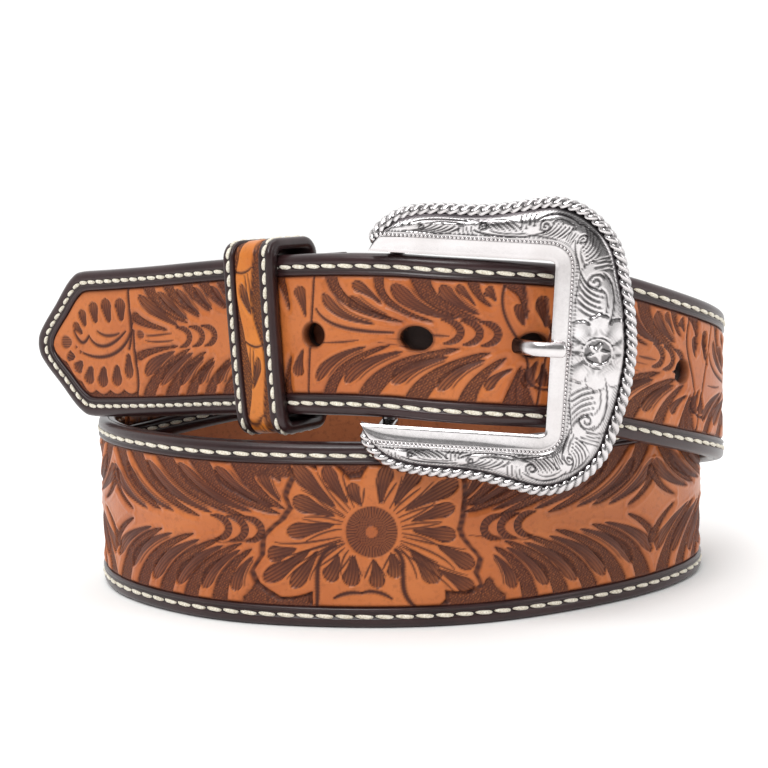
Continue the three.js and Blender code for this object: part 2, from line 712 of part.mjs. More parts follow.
const ropeRings = ropePath.map((point) => Array.from({ length: ROPE_SIDES }, (_, k) => {
  const angle = 2 * Math.PI * k / ROPE_SIDES;
  const out = -ROPE_RADIUS * Math.cos(angle);
  return onBuckle(
    point.x + point.inX * out,
    point.y + point.inY * out,
    FRAME_THICK * 0.62 + ROPE_RADIUS * Math.sin(angle),
  );
}));
frame = frame.add(loft(ropeRings));
const lugRing = (side, front) => [[-2, -2], [2, -2], [2, 2], [-2, 2]].map(([dx, dy]) => {
  return onBuckle(BAR_AT + dx, side * (WINDOW_HALF + 2.4) + dy, front);
});
for (const side of [-1, 1]) {
  const lug = loft([lugRing(side, -BAR_DEPTH - 1.6), lugRing(side, FRAME_THICK * 0.5)]);
  frame = frame.add(lug);
}
const barEnd = WINDOW_HALF + 2;
frame = frame.add(rodAcross(BAR_RADIUS, -barEnd, barEnd));

const RING_SIDES = 14;
const ringInner = BAR_RADIUS + 0.2;
const ringOuter = BAR_RADIUS + 1.8;
const ringShape = [
  [ringInner, -PRONG_WIDE / 2],
  [ringOuter, -PRONG_WIDE / 2],
  [ringOuter, PRONG_WIDE / 2],
  [ringInner, PRONG_WIDE / 2],
];
const ringRings = Array.from({ length: RING_SIDES }, (_, i) => {
  const angle = 2 * Math.PI * i / RING_SIDES;
  return ringShape.map(([radius, y]) => {
    return onBuckle(BAR_AT + radius * Math.cos(angle), y, -BAR_DEPTH + radius * Math.sin(angle));
  });
});
const prong = loft(ringRings, true).add(prongShank(0));

addPiece('strap_face', face, LEATHER_DARK);
addPiece('tooled_panel', panel, LEATHER_TAN);
addPiece('strap_lining', lining, LINING_LOOK);
addPiece('keeper_loop', keeper, LEATHER_DARK);
addPiece('keeper_panel', keeperPanel, LEATHER_AMBER);
addPiece('buckle_frame', frame, SILVER);
addPiece('prong', prong, SILVER);
snaps.forEach((snap, i) => addPiece(`fold_snap_${i + 1}`, snap, SNAP_LOOK));

// The origin lies under the middle of the whole belt
const box = new THREE.Box3().setFromObject(group);
const middle = box.getCenter(new THREE.Vector3());
for (const piece of group.children) {
  piece.geometry.translate(-middle.x, -middle.y, 0);
}

export default group;
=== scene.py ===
import math

import bpy
import bmesh
import numpy as np
from mathutils import Matrix, Vector


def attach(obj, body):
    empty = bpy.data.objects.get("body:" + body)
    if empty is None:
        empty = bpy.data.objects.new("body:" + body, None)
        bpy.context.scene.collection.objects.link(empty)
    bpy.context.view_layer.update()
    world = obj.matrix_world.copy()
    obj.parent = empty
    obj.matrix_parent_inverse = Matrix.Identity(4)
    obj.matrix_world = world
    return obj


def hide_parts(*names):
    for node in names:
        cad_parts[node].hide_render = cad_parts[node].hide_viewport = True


# A fastened western belt in two standing turns. Lengths are millimetres until a mesh is made.
# On the flat strap, `along` runs from the point of the tip to the bar of the buckle, `deep`
# from the outer face inwards, and `across` from the middle to an edge.

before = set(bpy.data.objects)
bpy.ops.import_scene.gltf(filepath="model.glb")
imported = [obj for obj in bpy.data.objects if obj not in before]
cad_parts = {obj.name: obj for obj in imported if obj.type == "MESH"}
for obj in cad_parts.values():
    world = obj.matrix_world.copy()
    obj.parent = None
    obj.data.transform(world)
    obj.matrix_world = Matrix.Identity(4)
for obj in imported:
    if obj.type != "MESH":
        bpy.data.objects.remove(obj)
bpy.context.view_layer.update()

MM = 0.001
ORIGIN_SHIFT = np.array([5.978, 3.1686, 0.0])

# Coil and strap, as in the part's source
COIL_HALF = 80.0
BODY_WIDTH = 44.0
BILLET_WIDTH = 37.6
FACE_THICK = 2.4
LINING_FROM = 2.5
STRAP_THICK = 4.5
BILLET_RUN = 235.0
TAPER_RUN = 110.0
CHAPE_RUN = 85.0
POINT_LENGTH = 16.5
BORDER = 5.0
FIELD_START = 6.5
FIELD_POINT = 12.5
HOLE_ONE = 92.5
HOLE_PITCH = 25.4
HOLE_RADIUS = 2.85
HOLE_STRETCH = [0, 2.2, 2.2, 0, 0]
HOLE_SHIFT = [0, 0, 1.9, 0, 0]

# Buckle, prong, keeper and fold
BUCKLE_HALF_LENGTH = 31.0
BUCKLE_HALF_HEIGHT = 34.0
WINDOW_HALF = 19.7
FRAME_THICK = 3.4
ROPE_RADIUS = 1.5
BAR_RADIUS = 1.75
BAR_AT = -25.0
BAR_DEPTH = 8.6
BAR_ROOM = 0.25
BUCKLE_TURN = math.radians(-6.5)
PRONG_WIDE = 3.8
PRONG_THICK = 2.2
KEEPER_AT = COIL_HALF * 0.965
KEEPER_WIDE = 14.5
KEEPER_ROOM_TOP = 1.3
KEEPER_ROOM_LOW = 1.9
FOLD_LENGTH = COIL_HALF * 0.7
FOLD_HALF = 17.8
GAP = 0.3

# Route of the strap's outer face: side and depth are shares of COIL_HALF, lift of BODY_WIDTH
ROUTE = [
    (-1.207, -0.025, 1.000), (-0.970, -0.195, 1.028), (-0.788, -0.326, 1.057),
    (-0.563, -0.487, 1.100), (-0.375, -0.622, 1.130), (-0.269, -0.691, 1.141),
    (-0.163, -0.742, 1.145), (-0.050, -0.782, 1.141), (0.075, -0.815, 1.125),
    (0.200, -0.831, 1.109), (0.338, -0.820, 1.090), (0.475, -0.770, 1.060),
    (0.600, -0.691, 1.010), (0.725, -0.591, 0.939), (0.838, -0.480, 0.868),
    (0.944, -0.345, 0.795), (1.019, -0.195, 0.727), (1.054, -0.025, 0.660),
    (1.044, 0.175, 0.586), (0.950, 0.400, 0.495), (0.775, 0.600, 0.400),
    (0.525, 0.738, 0.302), (0.225, 0.806, 0.209), (-0.100, 0.819, 0.127),
    (-0.425, 0.763, 0.064), (-0.713, 0.619, 0.020), (-0.912, 0.400, 0.0),
    (-1.006, 0.150, 0.0), (-1.000, -0.080, 0.0), (-0.912, -0.300, 0.0),
    (-0.763, -0.481, 0.0), (-0.563, -0.628, 0.0), (-0.300, -0.717, 0.0),
    (0.000, -0.747, 0.0), (0.225, -0.714, 0.0), (0.463, -0.610, 0.0),
    (0.700, -0.450, 0.0), (0.875, -0.270, 0.0), (0.979, -0.060, 0.0),
    (0.982, 0.160, 0.0), (0.893, 0.369, 0.009), (0.734, 0.551, 0.041),
    (0.500, 0.680, 0.100), (0.217, 0.744, 0.186), (-0.095, 0.753, 0.295),
    (-0.403, 0.696, 0.418), (-0.669, 0.562, 0.541), (-0.848, 0.368, 0.650),
    (-0.930, 0.140, 0.752), (-0.913, -0.048, 0.827), (-0.842, -0.173, 0.884),
    (-0.746, -0.268, 0.945), (-0.636, -0.354, 1.007), (-0.524, -0.435, 1.061),
    (-0.423, -0.508, 1.095), (-0.336, -0.570, 1.118), (-0.230, -0.638, 1.138),
    (-0.132, -0.684, 1.147), (-0.050, -0.714, 1.137),
]

# Outline of the buckle frame, upper half: outer x and y, then the window's x and y
BUCKLE_OUTLINE = [
    (-1.000, 0.640, -0.985, 0), (-0.975, 0.710, -0.950, 0), (-0.905, 0.790, -0.890, 0),
    (-0.775, 0.870, -0.790, 0), (-0.610, 0.910, -0.620, 0), (-0.400, 0.920, -0.400, 0),
    (-0.160, 0.924, -0.180, 0), (0.040, 0.950, 0.020, 0), (0.210, 0.983, 0.190, 0),
    (0.345, 1.000, 0.320, 0), (0.490, 0.980, 0.352, 0.010), (0.640, 0.912, 0.368, 0.025),
    (0.765, 0.808, 0.375, 0.045), (0.855, 0.680, 0.377, 0.085), (0.905, 0.530, 0.377, 0.260),
    (0.955, 0.350, 0.377, 0.520), (0.985, 0.175, 0.377, 0.770), (1.000, 0.000, 0.377, 1.000),
]

# English point: share of its length, share of the half width
POINT = [
    (0, 0), (0.006, 0.05), (0.03, 0.13), (0.09, 0.215), (0.45, 0.555), (0.85, 0.915), (1, 0.985), (1.15, 1),
]

# Middle of the prong: x from the buckle's middle, front from the frame's back
PRONG = [
    (-22.4, -6.6), (-18.0, -4.4), (-12.0, -3.3), (-6.0, -3.3), (-1.8, -3.9), (0.3, -3.0),
    (2.4, -0.8), (4.5, 1.5), (6.5, 3.7), (8.4, 5.0), (10.5, 5.3), (13.2, 5.15), (15.6, 4.9),
]


def smooth(t):
    t = np.clip(t, 0, 1)
    return t * t * (3 - 2 * t)


def unit(vectors):
    return vectors / np.linalg.norm(vectors, axis=-1, keepdims=True)


def run_of(points):
    """Length along a line of points, counted from its first."""
    return np.concatenate([[0], np.cumsum(np.linalg.norm(np.diff(points, axis=0), axis=1))])


def circle(sides):
    return 2 * np.pi * np.arange(sides) / sides


def natural_spline(knots, values):
    knots = np.asarray(knots, float)
    values = np.asarray(values, float)
    n = len(knots)
    h = np.diff(knots)
    diag = [1.0] * n
    right = [0.0] * n
    upper = [0.0] * n
    for i in range(1, n - 1):
        slope_after = (values[i + 1] - values[i]) / h[i]
        slope_before = (values[i] - values[i - 1]) / h[i - 1]
        factor = h[i - 1] / diag[i - 1]
        diag[i] = 2 * (h[i - 1] + h[i]) - factor * upper[i - 1]
        right[i] = 6 * (slope_after - slope_before) - factor * right[i - 1]
        upper[i] = h[i]
    bend = np.zeros(n)
    for i in range(n - 2, 0, -1):
        bend[i] = (right[i] - upper[i] * bend[i + 1]) / diag[i]

    def curve(k):
        i = np.clip(np.searchsorted(knots, k) - 1, 0, n - 2)
        a = (knots[i + 1] - k) / h[i]
        b = (k - knots[i]) / h[i]
        cubic = ((a ** 3 - a) * bend[i] + (b ** 3 - b) * bend[i + 1]) * h[i] ** 2 / 6
        return a * values[i] + b * values[i + 1] + cubic
    return curve


def level_curve(knots, values):
    knots = np.asarray(knots, float)
    values = np.asarray(values, float)
    n = len(knots)
    rise = np.diff(values) / np.diff(knots)
    slope = np.zeros(n)
    slope[0], slope[-1] = rise[0], rise[-1]
    for i in range(1, n - 1):
        if rise[i - 1] * rise[i] > 0:
            slope[i] = 2 * rise[i - 1] * rise[i] / (rise[i - 1] + rise[i])

    def curve(k):
        i = np.clip(np.searchsorted(knots, k) - 1, 0, n - 2)
        h = knots[i + 1] - knots[i]
        t = (k - knots[i]) / h
        start = (1 + 2 * t) * (1 - t) ** 2 * values[i] + t * (1 - t) ** 2 * h * slope[i]
        end = t * t * (3 - 2 * t) * values[i + 1] + t * t * (t - 1) * h * slope[i + 1]
        return start + end
    return curve


route_side, route_depth, route_lift = (np.array(ROUTE) * [COIL_HALF, COIL_HALF, BODY_WIDTH]).T
route_knots = np.concatenate([[0], np.cumsum(np.hypot(np.diff(route_side), np.diff(route_depth)))])
side_at = natural_spline(route_knots, route_side)
depth_at = natural_spline(route_knots, route_depth)
lift_at = level_curve(route_knots, route_lift)
fine_knots = np.linspace(0, route_knots[-1], 2200)
fine_steps = np.sqrt(
    np.diff(side_at(fine_knots)) ** 2 + np.diff(depth_at(fine_knots)) ** 2 + np.diff(lift_at(fine_knots)) ** 2
)
length_table = np.concatenate([[0], np.cumsum(fine_steps)])
BELT_LENGTH = float(length_table[-1])


def half_width(along):
    from_tip = smooth((along - BILLET_RUN) / TAPER_RUN)
    from_bar = smooth((BELT_LENGTH - CHAPE_RUN - along) / TAPER_RUN)
    return (BILLET_WIDTH + (BODY_WIDTH - BILLET_WIDTH) * np.minimum(from_tip, from_bar)) / 2


def route_point(along):
    inside = np.clip(along, 0, BELT_LENGTH)
    k = np.interp(inside, length_table, fine_knots)
    return np.stack([side_at(k), depth_at(k), lift_at(k) + half_width(inside)], -1)


def place(along, deep, across):
    """Point in space, in millimetres of the part's frame, for a place on the flat strap."""
    along, deep, across = np.broadcast_arrays(*(np.asarray(v, float) for v in (along, deep, across)))
    inside = np.clip(along, 0, BELT_LENGTH)
    before, after = np.maximum(inside - 0.8, 0), np.minimum(inside + 0.8, BELT_LENGTH)
    ahead = unit(route_point(after) - route_point(before))
    level = np.hypot(ahead[..., 0], ahead[..., 1])
    zero = np.zeros_like(level)
    inward = np.stack([-ahead[..., 1] / level, ahead[..., 0] / level, zero], -1)
    up = np.stack([-ahead[..., 2] * ahead[..., 0] / level, -ahead[..., 2] * ahead[..., 1] / level, level], -1)
    point = route_point(inside) + ahead * (along - inside)[..., None]
    return point + inward * deep[..., None] + up * across[..., None] + ORIGIN_SHIFT


# Meshes

def build(name, points, faces, material, colours=None):
    """Smooth mesh object from points in millimetres and a list of faces."""
    mesh = bpy.data.meshes.new(name)
    mesh.from_pydata((np.asarray(points, float) * MM).tolist(), [], faces)
    mesh.update()
    if colours is not None:
        layer = mesh.color_attributes.new("tooling", "FLOAT_COLOR", "POINT")
        layer.data.foreach_set("color", np.asarray(colours, np.float32).ravel())
    mesh.polygons.foreach_set("use_smooth", [True] * len(mesh.polygons))
    mesh.materials.append(material)
    obj = bpy.data.objects.new(name, mesh)
    bpy.context.scene.collection.objects.link(obj)
    return obj


def paint(dark, light=0.0):
    """Tooling colours: antique finish and painted shade in the first channel, worn colour in the second."""
    dark, light = np.broadcast_arrays(dark, light)
    rows = np.stack([dark, light, np.zeros(dark.shape), np.ones(dark.shape)], -1)
    return np.clip(rows, 0, 1).reshape(-1, 4)


def grid_faces(rows, columns, wrap_rows=False, wrap_columns=False):
    """Quads of a grid of points stored row by row."""
    r = np.arange(rows if wrap_rows else rows - 1)
    c = np.arange(columns if wrap_columns else columns - 1)
    r, c = np.meshgrid(r, c, indexing="ij")
    r2, c2 = (r + 1) % rows, (c + 1) % columns
    quads = np.stack([r * columns + c, r2 * columns + c, r2 * columns + c2, r * columns + c2], -1)
    return quads.reshape(-1, 4)


def tidy_mesh(obj, outward=True):
    """Drops faces without area and turns the others outwards."""
    edit = bmesh.new()
    edit.from_mesh(obj.data)
    bmesh.ops.dissolve_degenerate(edit, edges=edit.edges, dist=1e-7)
    if outward:
        bmesh.ops.recalc_face_normals(edit, faces=edit.faces)
    edit.to_mesh(obj.data)
    edit.free()
    obj.data.update()


def ring_solid(name, rings, material, colours=None, closed=False):
    """Solid from rings of points; a closed chain of rings needs no ends."""
    rings = np.asarray(rings)
    rows, columns = rings.shape[:2]
    faces = grid_faces(rows, columns, wrap_rows=closed, wrap_columns=True).tolist()
    if not closed:
        faces.append(list(range(columns)))
        faces.append([(rows - 1) * columns + c for c in range(columns)][::-1])
    obj = build(name, rings.reshape(-1, 3), faces, material, colours)
    tidy_mesh(obj)
    return obj


# Materials

def new_material(name):
    material = bpy.data.materials.new(name)
    material.use_nodes = True
    tree = material.node_tree
    tree.nodes.clear()
    out = tree.nodes.new("ShaderNodeOutputMaterial")
    shader = tree.nodes.new("ShaderNodeBsdfPrincipled")
    tree.links.new(shader.outputs[0], out.inputs[0])
    return material, tree, shader


def node(tree, kind, inputs=None, **settings):
    made = tree.nodes.new(kind)
    for key, value in settings.items():
        setattr(made, key, value)
    for key, value in (inputs or {}).items():
        if isinstance(value, bpy.types.NodeSocket):
            tree.links.new(value, made.inputs[key])
        else:
            made.inputs[key].default_value = value
    return made


def mix_colour(tree, factor, first, second):
    mixed = node(tree, "ShaderNodeMix", data_type="RGBA")
    for index, value in ((0, factor), (6, first), (7, second)):
        if isinstance(value, bpy.types.NodeSocket):
            tree.links.new(value, mixed.inputs[index])
        else:
            mixed.inputs[index].default_value = value
    return mixed.outputs[2]


def noise(tree, scale, detail=3.0, rough=0.5):
    place_node = node(tree, "ShaderNodeTexCoord")
    return node(tree, "ShaderNodeTexNoise", {
        "Vector": place_node.outputs["Object"], "Scale": scale, "Detail": detail, "Roughness": rough,
    }).outputs["Fac"]


def spread(tree, value, low, high, to_low=0.0, to_high=1.0):
    return node(tree, "ShaderNodeMapRange", {
        "Value": value, "From Min": low, "From Max": high, "To Min": to_low, "To Max": to_high,
    }).outputs["Result"]


def bump(tree, height, distance, strength=1.0, under=None):
    inputs = {"Height": height, "Distance": distance, "Strength": strength}
    if under is not None:
        inputs["Normal"] = under
    return node(tree, "ShaderNodeBump", inputs).outputs["Normal"]


def tooling(tree):
    """Sockets of the painted channels: antique finish and painted shade, worn colour."""
    layer = node(tree, "ShaderNodeVertexColor", layer_name="tooling")
    parts = node(tree, "ShaderNodeSeparateColor", {"Color": layer.outputs["Color"]})
    return parts.outputs[0], parts.outputs[1]


def leather(name, light, mid, dark, rough, grain=0.00008, coat=0.07):
    """Dyed leather, darker, duller and unpolished where the antique finish and the painted shade lie."""
    material, tree, shader = new_material(name)
    blotch = noise(tree, BLOTCHES, 4.0, 0.55)
    pores = noise(tree, PORES, 2.0, 0.6)
    creases = noise(tree, CREASES, 3.0, 0.6)
    antique_and_shade, worn = tooling(tree)
    base = mix_colour(tree, spread(tree, blotch, 0.35, 0.66), mid, light)
    base = mix_colour(tree, spread(tree, creases, 0.52, 0.72, 0.0, 0.35), base, dark)
    base = mix_colour(tree, antique_and_shade, base, dark)
    base = mix_colour(tree, worn, base, light)
    dull = spread(tree, antique_and_shade, 0.0, 1.0, rough, rough + ANTIQUE_DULLS)
    normal = bump(tree, creases, grain * 1.6, 0.5)
    normal = bump(tree, pores, grain, 0.55, normal)
    tree.links.new(base, shader.inputs["Base Color"])
    tree.links.new(dull, shader.inputs["Roughness"])
    tree.links.new(normal, shader.inputs["Normal"])
    shader.inputs["Coat Weight"].default_value = coat
    shader.inputs["Coat Roughness"].default_value = COAT_ROUGH
    shader.inputs["Specular IOR Level"].default_value = LEATHER_SHINE
    return material


def metal(name, bright, tarnish_and_shade, rough=0.19):
    """Metal with tarnish kept in the cuts, and painted shade on the parts that lie in shadow, where the
    tooling colour says so.
    """
    material, tree, shader = new_material(name)
    cloud = noise(tree, CLOUDS, 3.0, 0.5)
    scratches = noise(tree, SCRATCHES, 4.0, 0.7)
    base = mix_colour(tree, spread(tree, cloud, 0.35, 0.7, 0.0, 0.45), bright, CLOUDED)
    base = mix_colour(tree, tooling(tree)[0], base, tarnish_and_shade)
    sheen = spread(tree, scratches, 0.3, 0.75, rough - 0.04, rough + 0.08)
    tree.links.new(base, shader.inputs["Base Color"])
    tree.links.new(sheen, shader.inputs["Roughness"])
    tree.links.new(bump(tree, cloud, 0.00004, 0.3), shader.inputs["Normal"])
    shader.inputs["Metallic"].default_value = 1.0
    return material


def thread_material(name):
    material, tree, shader = new_material(name)
    fibres = noise(tree, FIBRES, 3.0, 0.6)
    base = mix_colour(tree, spread(tree, fibres, 0.3, 0.7), (0.50, 0.43, 0.30, 1), (0.93, 0.89, 0.79, 1))
    tree.links.new(base, shader.inputs["Base Color"])
    tree.links.new(bump(tree, fibres, 0.0001, 0.7), shader.inputs["Normal"])
    shader.inputs["Roughness"].default_value = 0.62
    shader.inputs["Sheen Weight"].default_value = 0.2
    return material


# Noise scales, finest last
BLOTCHES = 55.0
CLOUDS = 90.0
CREASES = 700.0
SCRATCHES = 1400.0
FIBRES = 2400.0
PORES = 2600.0
ANTIQUE_DULLS = 0.3
COAT_ROUGH = 0.22
LEATHER_SHINE = 0.32
CLOUDED = (0.50, 0.46, 0.45, 1)

# Colours: light, middle, dark
tan_leather = leather(
    "tooled_leather", (0.52, 0.152, 0.038, 1), (0.385, 0.093, 0.021, 1), (0.050, 0.010, 0.005, 1), 0.34)
amber_leather = leather(
    "keeper_leather", (0.60, 0.190, 0.026, 1), (0.46, 0.115, 0.014, 1), (0.045, 0.011, 0.006, 1), 0.32)
dark_leather = leather(
    "edge_leather", (0.036, 0.015, 0.016, 1), (0.022, 0.009, 0.0095, 1), (0.006, 0.003, 0.003, 1), 0.30,
    grain=0.00004, coat=0.2)
lining_leather = leather(
    "lining_leather", (0.30, 0.095, 0.034, 1), (0.22, 0.064, 0.022, 1), (0.018, 0.006, 0.004, 1), 0.45)
silver = metal("antique_silver", (0.74, 0.71, 0.715, 1), (0.030, 0.026, 0.028, 1))
thread = thread_material("waxed_thread")
dark_metal = metal("snap_metal", (0.32, 0.29, 0.26, 1), (0.03, 0.03, 0.03, 1), 0.3)


# Outline of the flat strap: matching points of the outer edge and of the field's edge

point_share = level_curve([row[0] for row in POINT], [row[1] for row in POINT])
END_OF_FACE = BELT_LENGTH - 10.0
END_OF_LINING = BELT_LENGTH - 11.0


def outline(step, end):
    """Rows of (outer along, outer half width, field along, field half width) from the tip."""
    shares = np.concatenate([[0, 0.003, 0.01, 0.02, 0.035, 0.06, 0.09], np.linspace(0.12, 1.15, 34)])
    half = point_share(shares)
    outer_along = shares * POINT_LENGTH
    inner_along = FIELD_START + shares * FIELD_POINT
    rest = np.arange(outer_along[-1] + step, end, step)
    rest[-1] = end
    late = (inner_along[-1] - outer_along[-1]) * np.clip(1 - (rest - outer_along[-1]) / 15, 0, 1)
    outer_along = np.concatenate([outer_along, rest])
    inner_along = np.concatenate([inner_along, rest + late])
    half = np.concatenate([half, np.ones(len(rest))])
    return outer_along, half * half_width(outer_along), inner_along, half * (half_width(inner_along) - BORDER)


def border_strip(profile, step, end):
    """Places of a profile of (inset from the edge, deep) swept round the outline, edge to edge."""
    outer_along, outer_half, inner_along, inner_half = outline(step, end)
    order = np.concatenate([np.arange(len(outer_along))[::-1], np.arange(1, len(outer_along))])
    sign = np.concatenate([-np.ones(len(outer_along)), np.ones(len(outer_along) - 1)])
    inset = np.array([row[0] for row in profile])
    deep = np.array([row[1] for row in profile])
    share = inset / BORDER
    along = outer_along[order][:, None] * (1 - share) + inner_along[order][:, None] * share
    across = outer_half[order][:, None] * (1 - share) + inner_half[order][:, None] * share
    return along, np.broadcast_to(deep, along.shape), across * sign[:, None]


def hole_places():
    return [(HOLE_ONE + HOLE_PITCH * i + HOLE_SHIFT[i], HOLE_RADIUS + HOLE_STRETCH[i] / 2, HOLE_RADIUS)
            for i in range(5)]


def punch(along, across, faces, places):
    """Moves grid points onto the holes' edges and drops the faces inside the holes."""
    along, across = along.copy(), across.copy()
    inside = np.zeros(along.shape, bool)
    for middle, long_half, high_half in places:
        u = (along - middle) / long_half
        v = across / high_half
        reach = np.hypot(u, v)
        hit = reach < 1
        scale = np.where(hit, 1 / np.maximum(reach, 1e-6), 1)
        inside |= hit
        along = np.where(hit, middle + (along - middle) * scale, along)
        across = np.where(hit, across * scale, across)
    flags = inside.ravel()[faces]
    return along, across, faces[~flags.all(axis=1)]


def boundary_loops(faces):
    """Ordered loops of the open edges of a quad mesh."""
    edges = np.concatenate([faces[:, [0, 1]], faces[:, [1, 2]], faces[:, [2, 3]], faces[:, [3, 0]]])
    edges = edges[edges[:, 0] != edges[:, 1]]
    forward = {}
    known = set(map(tuple, edges.tolist()))
    for a, b in known:
        if (b, a) not in known:
            forward.setdefault(a, []).append(b)
    loops = []
    while forward:
        start = next(iter(forward))
        loop = [start]
        here = start
        while True:
            following = forward[here]
            after = following.pop()
            if not following:
                del forward[here]
            if after == start:
                break
            loop.append(after)
            here = after
            if here not in forward:
                break
        loops.append(loop)
    return loops


def punched_sheet(name, along, deep, across, faces, colours, back, material):
    """Sheet on the flat strap, with walls from its open edges down to the depth of its back."""
    points = [place(along, deep, across).reshape(-1, 3)]
    colours = [colours]
    faces_made = faces.tolist()
    count = along.size
    for loop in boundary_loops(faces):
        loop = np.array(loop)
        number = len(loop)
        points.append(place(along.ravel()[loop], np.full(number, back), across.ravel()[loop]))
        # Painted shade: the walls, those of the punched holes above all, are darkened to 0.9.
        colours.append(paint(np.full(number, 0.9)))
        for i in range(number):
            j = (i + 1) % number
            faces_made.append([int(loop[j]), int(loop[i]), count + i, count + j])
        count += number
    obj = build(name, np.concatenate(points), faces_made, material, np.concatenate(colours))
    tidy_mesh(obj, outward=False)
    return obj


# Tooling: height and antique colour, and painted shade on the plain end, drawn on the flat strap as on real
# leather

class Relief:
    """Height and darkness over a grid whose `along` rises with its first axis."""

    def __init__(self, along, across, level=0.14):
        self.x = along
        self.y = across
        self.height = np.full(along.shape, level)
        self.dark = np.zeros(along.shape)
        self.light = np.full(along.shape, 0.35)
        self.order = along[:, along.shape[1] // 2]

    def window(self, low, high):
        first, last = np.searchsorted(self.order, [low, high])
        return slice(max(0, first), max(0, last))

    def seeds(self, rows, pitch=0.86):
        """Round seeder marks of the ground between the leaves."""
        u = (self.x[rows] + 0.37 * self.y[rows]) / pitch
        v = (self.y[rows] - 0.29 * self.x[rows]) / pitch
        jitter = np.sin(np.floor(u) * 12.9898 + np.floor(v) * 78.233) * 0.25
        return np.cos(2 * np.pi * (u + jitter)) * np.cos(2 * np.pi * (v - jitter))

    def ground(self, rows, mask):
        """Sinks and darkens an area, and stamps it with seeder marks."""
        marks = self.seeds(rows)
        self.height[rows] += (-0.42 + 0.18 * marks - self.height[rows]) * mask
        shade = np.maximum(self.dark[rows], 0.90 - 0.62 * np.clip(marks - 0.1, 0, 1))
        self.dark[rows] += (shade - self.dark[rows]) * mask
        self.light[rows] *= 1 - mask

    def rim(self, rows, inside, width=0.34, depth=0.12):
        """Dark swivel-knife line round a mark."""
        line = smooth(1 - np.abs(inside) / width)
        self.height[rows] -= depth * line
        self.dark[rows] = np.maximum(self.dark[rows], line)
        self.light[rows] *= 1 - line

    def wedge(self, path, width, tail=0.18, power=1.25):
        """Stamped ground that starts wide at a border and runs out as a hatched cut."""
        rows, share, side, distance = self.near_path(path, width + 1.3)
        half = width * (tail + (1 - tail) * (1 - share) ** power)
        half = half * np.where(share > 0.9, (1 - share) / 0.1, 1)
        half = np.maximum(half, 0.30 * np.clip((1 - share) / 0.1, 0, 1))
        inside = half - distance
        self.ground(rows, smooth(inside / 0.22 + 0.5))
        slope = smooth(1 + (inside - 0.1) / 1.3) * (inside < 0.1)
        self.height[rows] -= 0.24 * slope
        self.dark[rows] = np.maximum(self.dark[rows], 0.50 * slope ** 3)
        self.light[rows] *= 1 - 0.6 * slope
        self.rim(rows, inside)
        self.height[rows] += 0.10 * smooth(1 - np.abs(inside + 1.5) / 0.7)

    def comma(self, path, width, head=0.22, tail=0.16, pitch=0.78, dark=0.95, echo=0.0):
        """Sunk, hatched mark with a rounded head and a long fine tail."""
        rows, share, side, distance = self.near_path(path, width + 1.4)
        rising = np.sqrt(np.clip(1 - (1 - np.clip(share / head, 0, 1)) ** 2, 0, 1))
        falling = tail + (1 - tail) * np.clip((1 - share) / (1 - head), 0, 1) ** 1.35
        half = width * np.where(share < head, rising, falling * np.where(share > 0.92, (1 - share) / 0.08, 1))
        inside = half - distance
        body = smooth(inside / 0.24 + 0.5)
        lines = 0.5 + 0.5 * np.cos(2 * np.pi * side * distance / pitch)
        lift = smooth(share / 0.6)
        self.height[rows] -= body * (0.34 + 0.14 * lines - 0.08 * lift)
        shade = body * np.clip(dark - 0.50 * (1 - lines) * (1 - 0.8 * lift), 0, 1)
        self.dark[rows] = np.maximum(self.dark[rows], shade)
        self.light[rows] *= 1 - body
        self.rim(rows, inside, 0.30, 0.08)
        crest = smooth(1 - np.abs(inside + 0.65) / 0.5)
        self.light[rows] = np.clip(self.light[rows] + 0.4 * crest * (1 - self.dark[rows]), 0, 1)
        self.height[rows] += 0.09 * crest
        if echo:
            gap = np.abs(side * distance - echo * (half + 0.75 - 0.3 * share))
            fade = smooth((share - 0.12) / 0.15) * smooth((1 - share) / 0.1)
            self.cut(rows, gap, 0.18 * fade, 0.85 * fade, np.full(gap.shape, 0.40))

    def blend(self, rows, mask, height, dark, light=0.0):
        self.height[rows] += (height - self.height[rows]) * mask
        self.dark[rows] += (dark - self.dark[rows]) * mask
        self.light[rows] += (light - self.light[rows]) * mask

    def cut(self, rows, distance, depth, dark, width):
        """Groove with a dark bottom; distance is measured from its middle line."""
        shape = np.clip(1 - distance / np.maximum(width, 1e-6), 0, 1)
        self.height[rows] -= depth * smooth(shape)
        self.dark[rows] = np.maximum(self.dark[rows], dark * smooth(shape * 1.5))
        self.light[rows] *= 1 - smooth(shape)

    def near_path(self, path, reach):
        """Share along a path, signed side distance and plain distance for the points near it."""
        path = np.asarray(path, float)
        rows = self.window(path[:, 0].min() - reach, path[:, 0].max() + reach)
        x, y = self.x[rows], self.y[rows]
        steps = np.hypot(np.diff(path[:, 0]), np.diff(path[:, 1]))
        before = np.concatenate([[0], np.cumsum(steps)])
        best = np.full(x.shape, 1e9)
        share = np.zeros(x.shape)
        side = np.zeros(x.shape)
        for i, length in enumerate(steps):
            dx, dy = (path[i + 1] - path[i]) / max(length, 1e-9)
            t = np.clip((x - path[i, 0]) * dx + (y - path[i, 1]) * dy, 0, length)
            gap_x = x - path[i, 0] - t * dx
            gap_y = y - path[i, 1] - t * dy
            reach_here = np.hypot(gap_x, gap_y)
            closer = reach_here < best
            best = np.where(closer, reach_here, best)
            share = np.where(closer, (before[i] + t) / before[-1], share)
            side = np.where(closer, np.sign(dx * gap_y - dy * gap_x), side)
        return rows, share, side, best

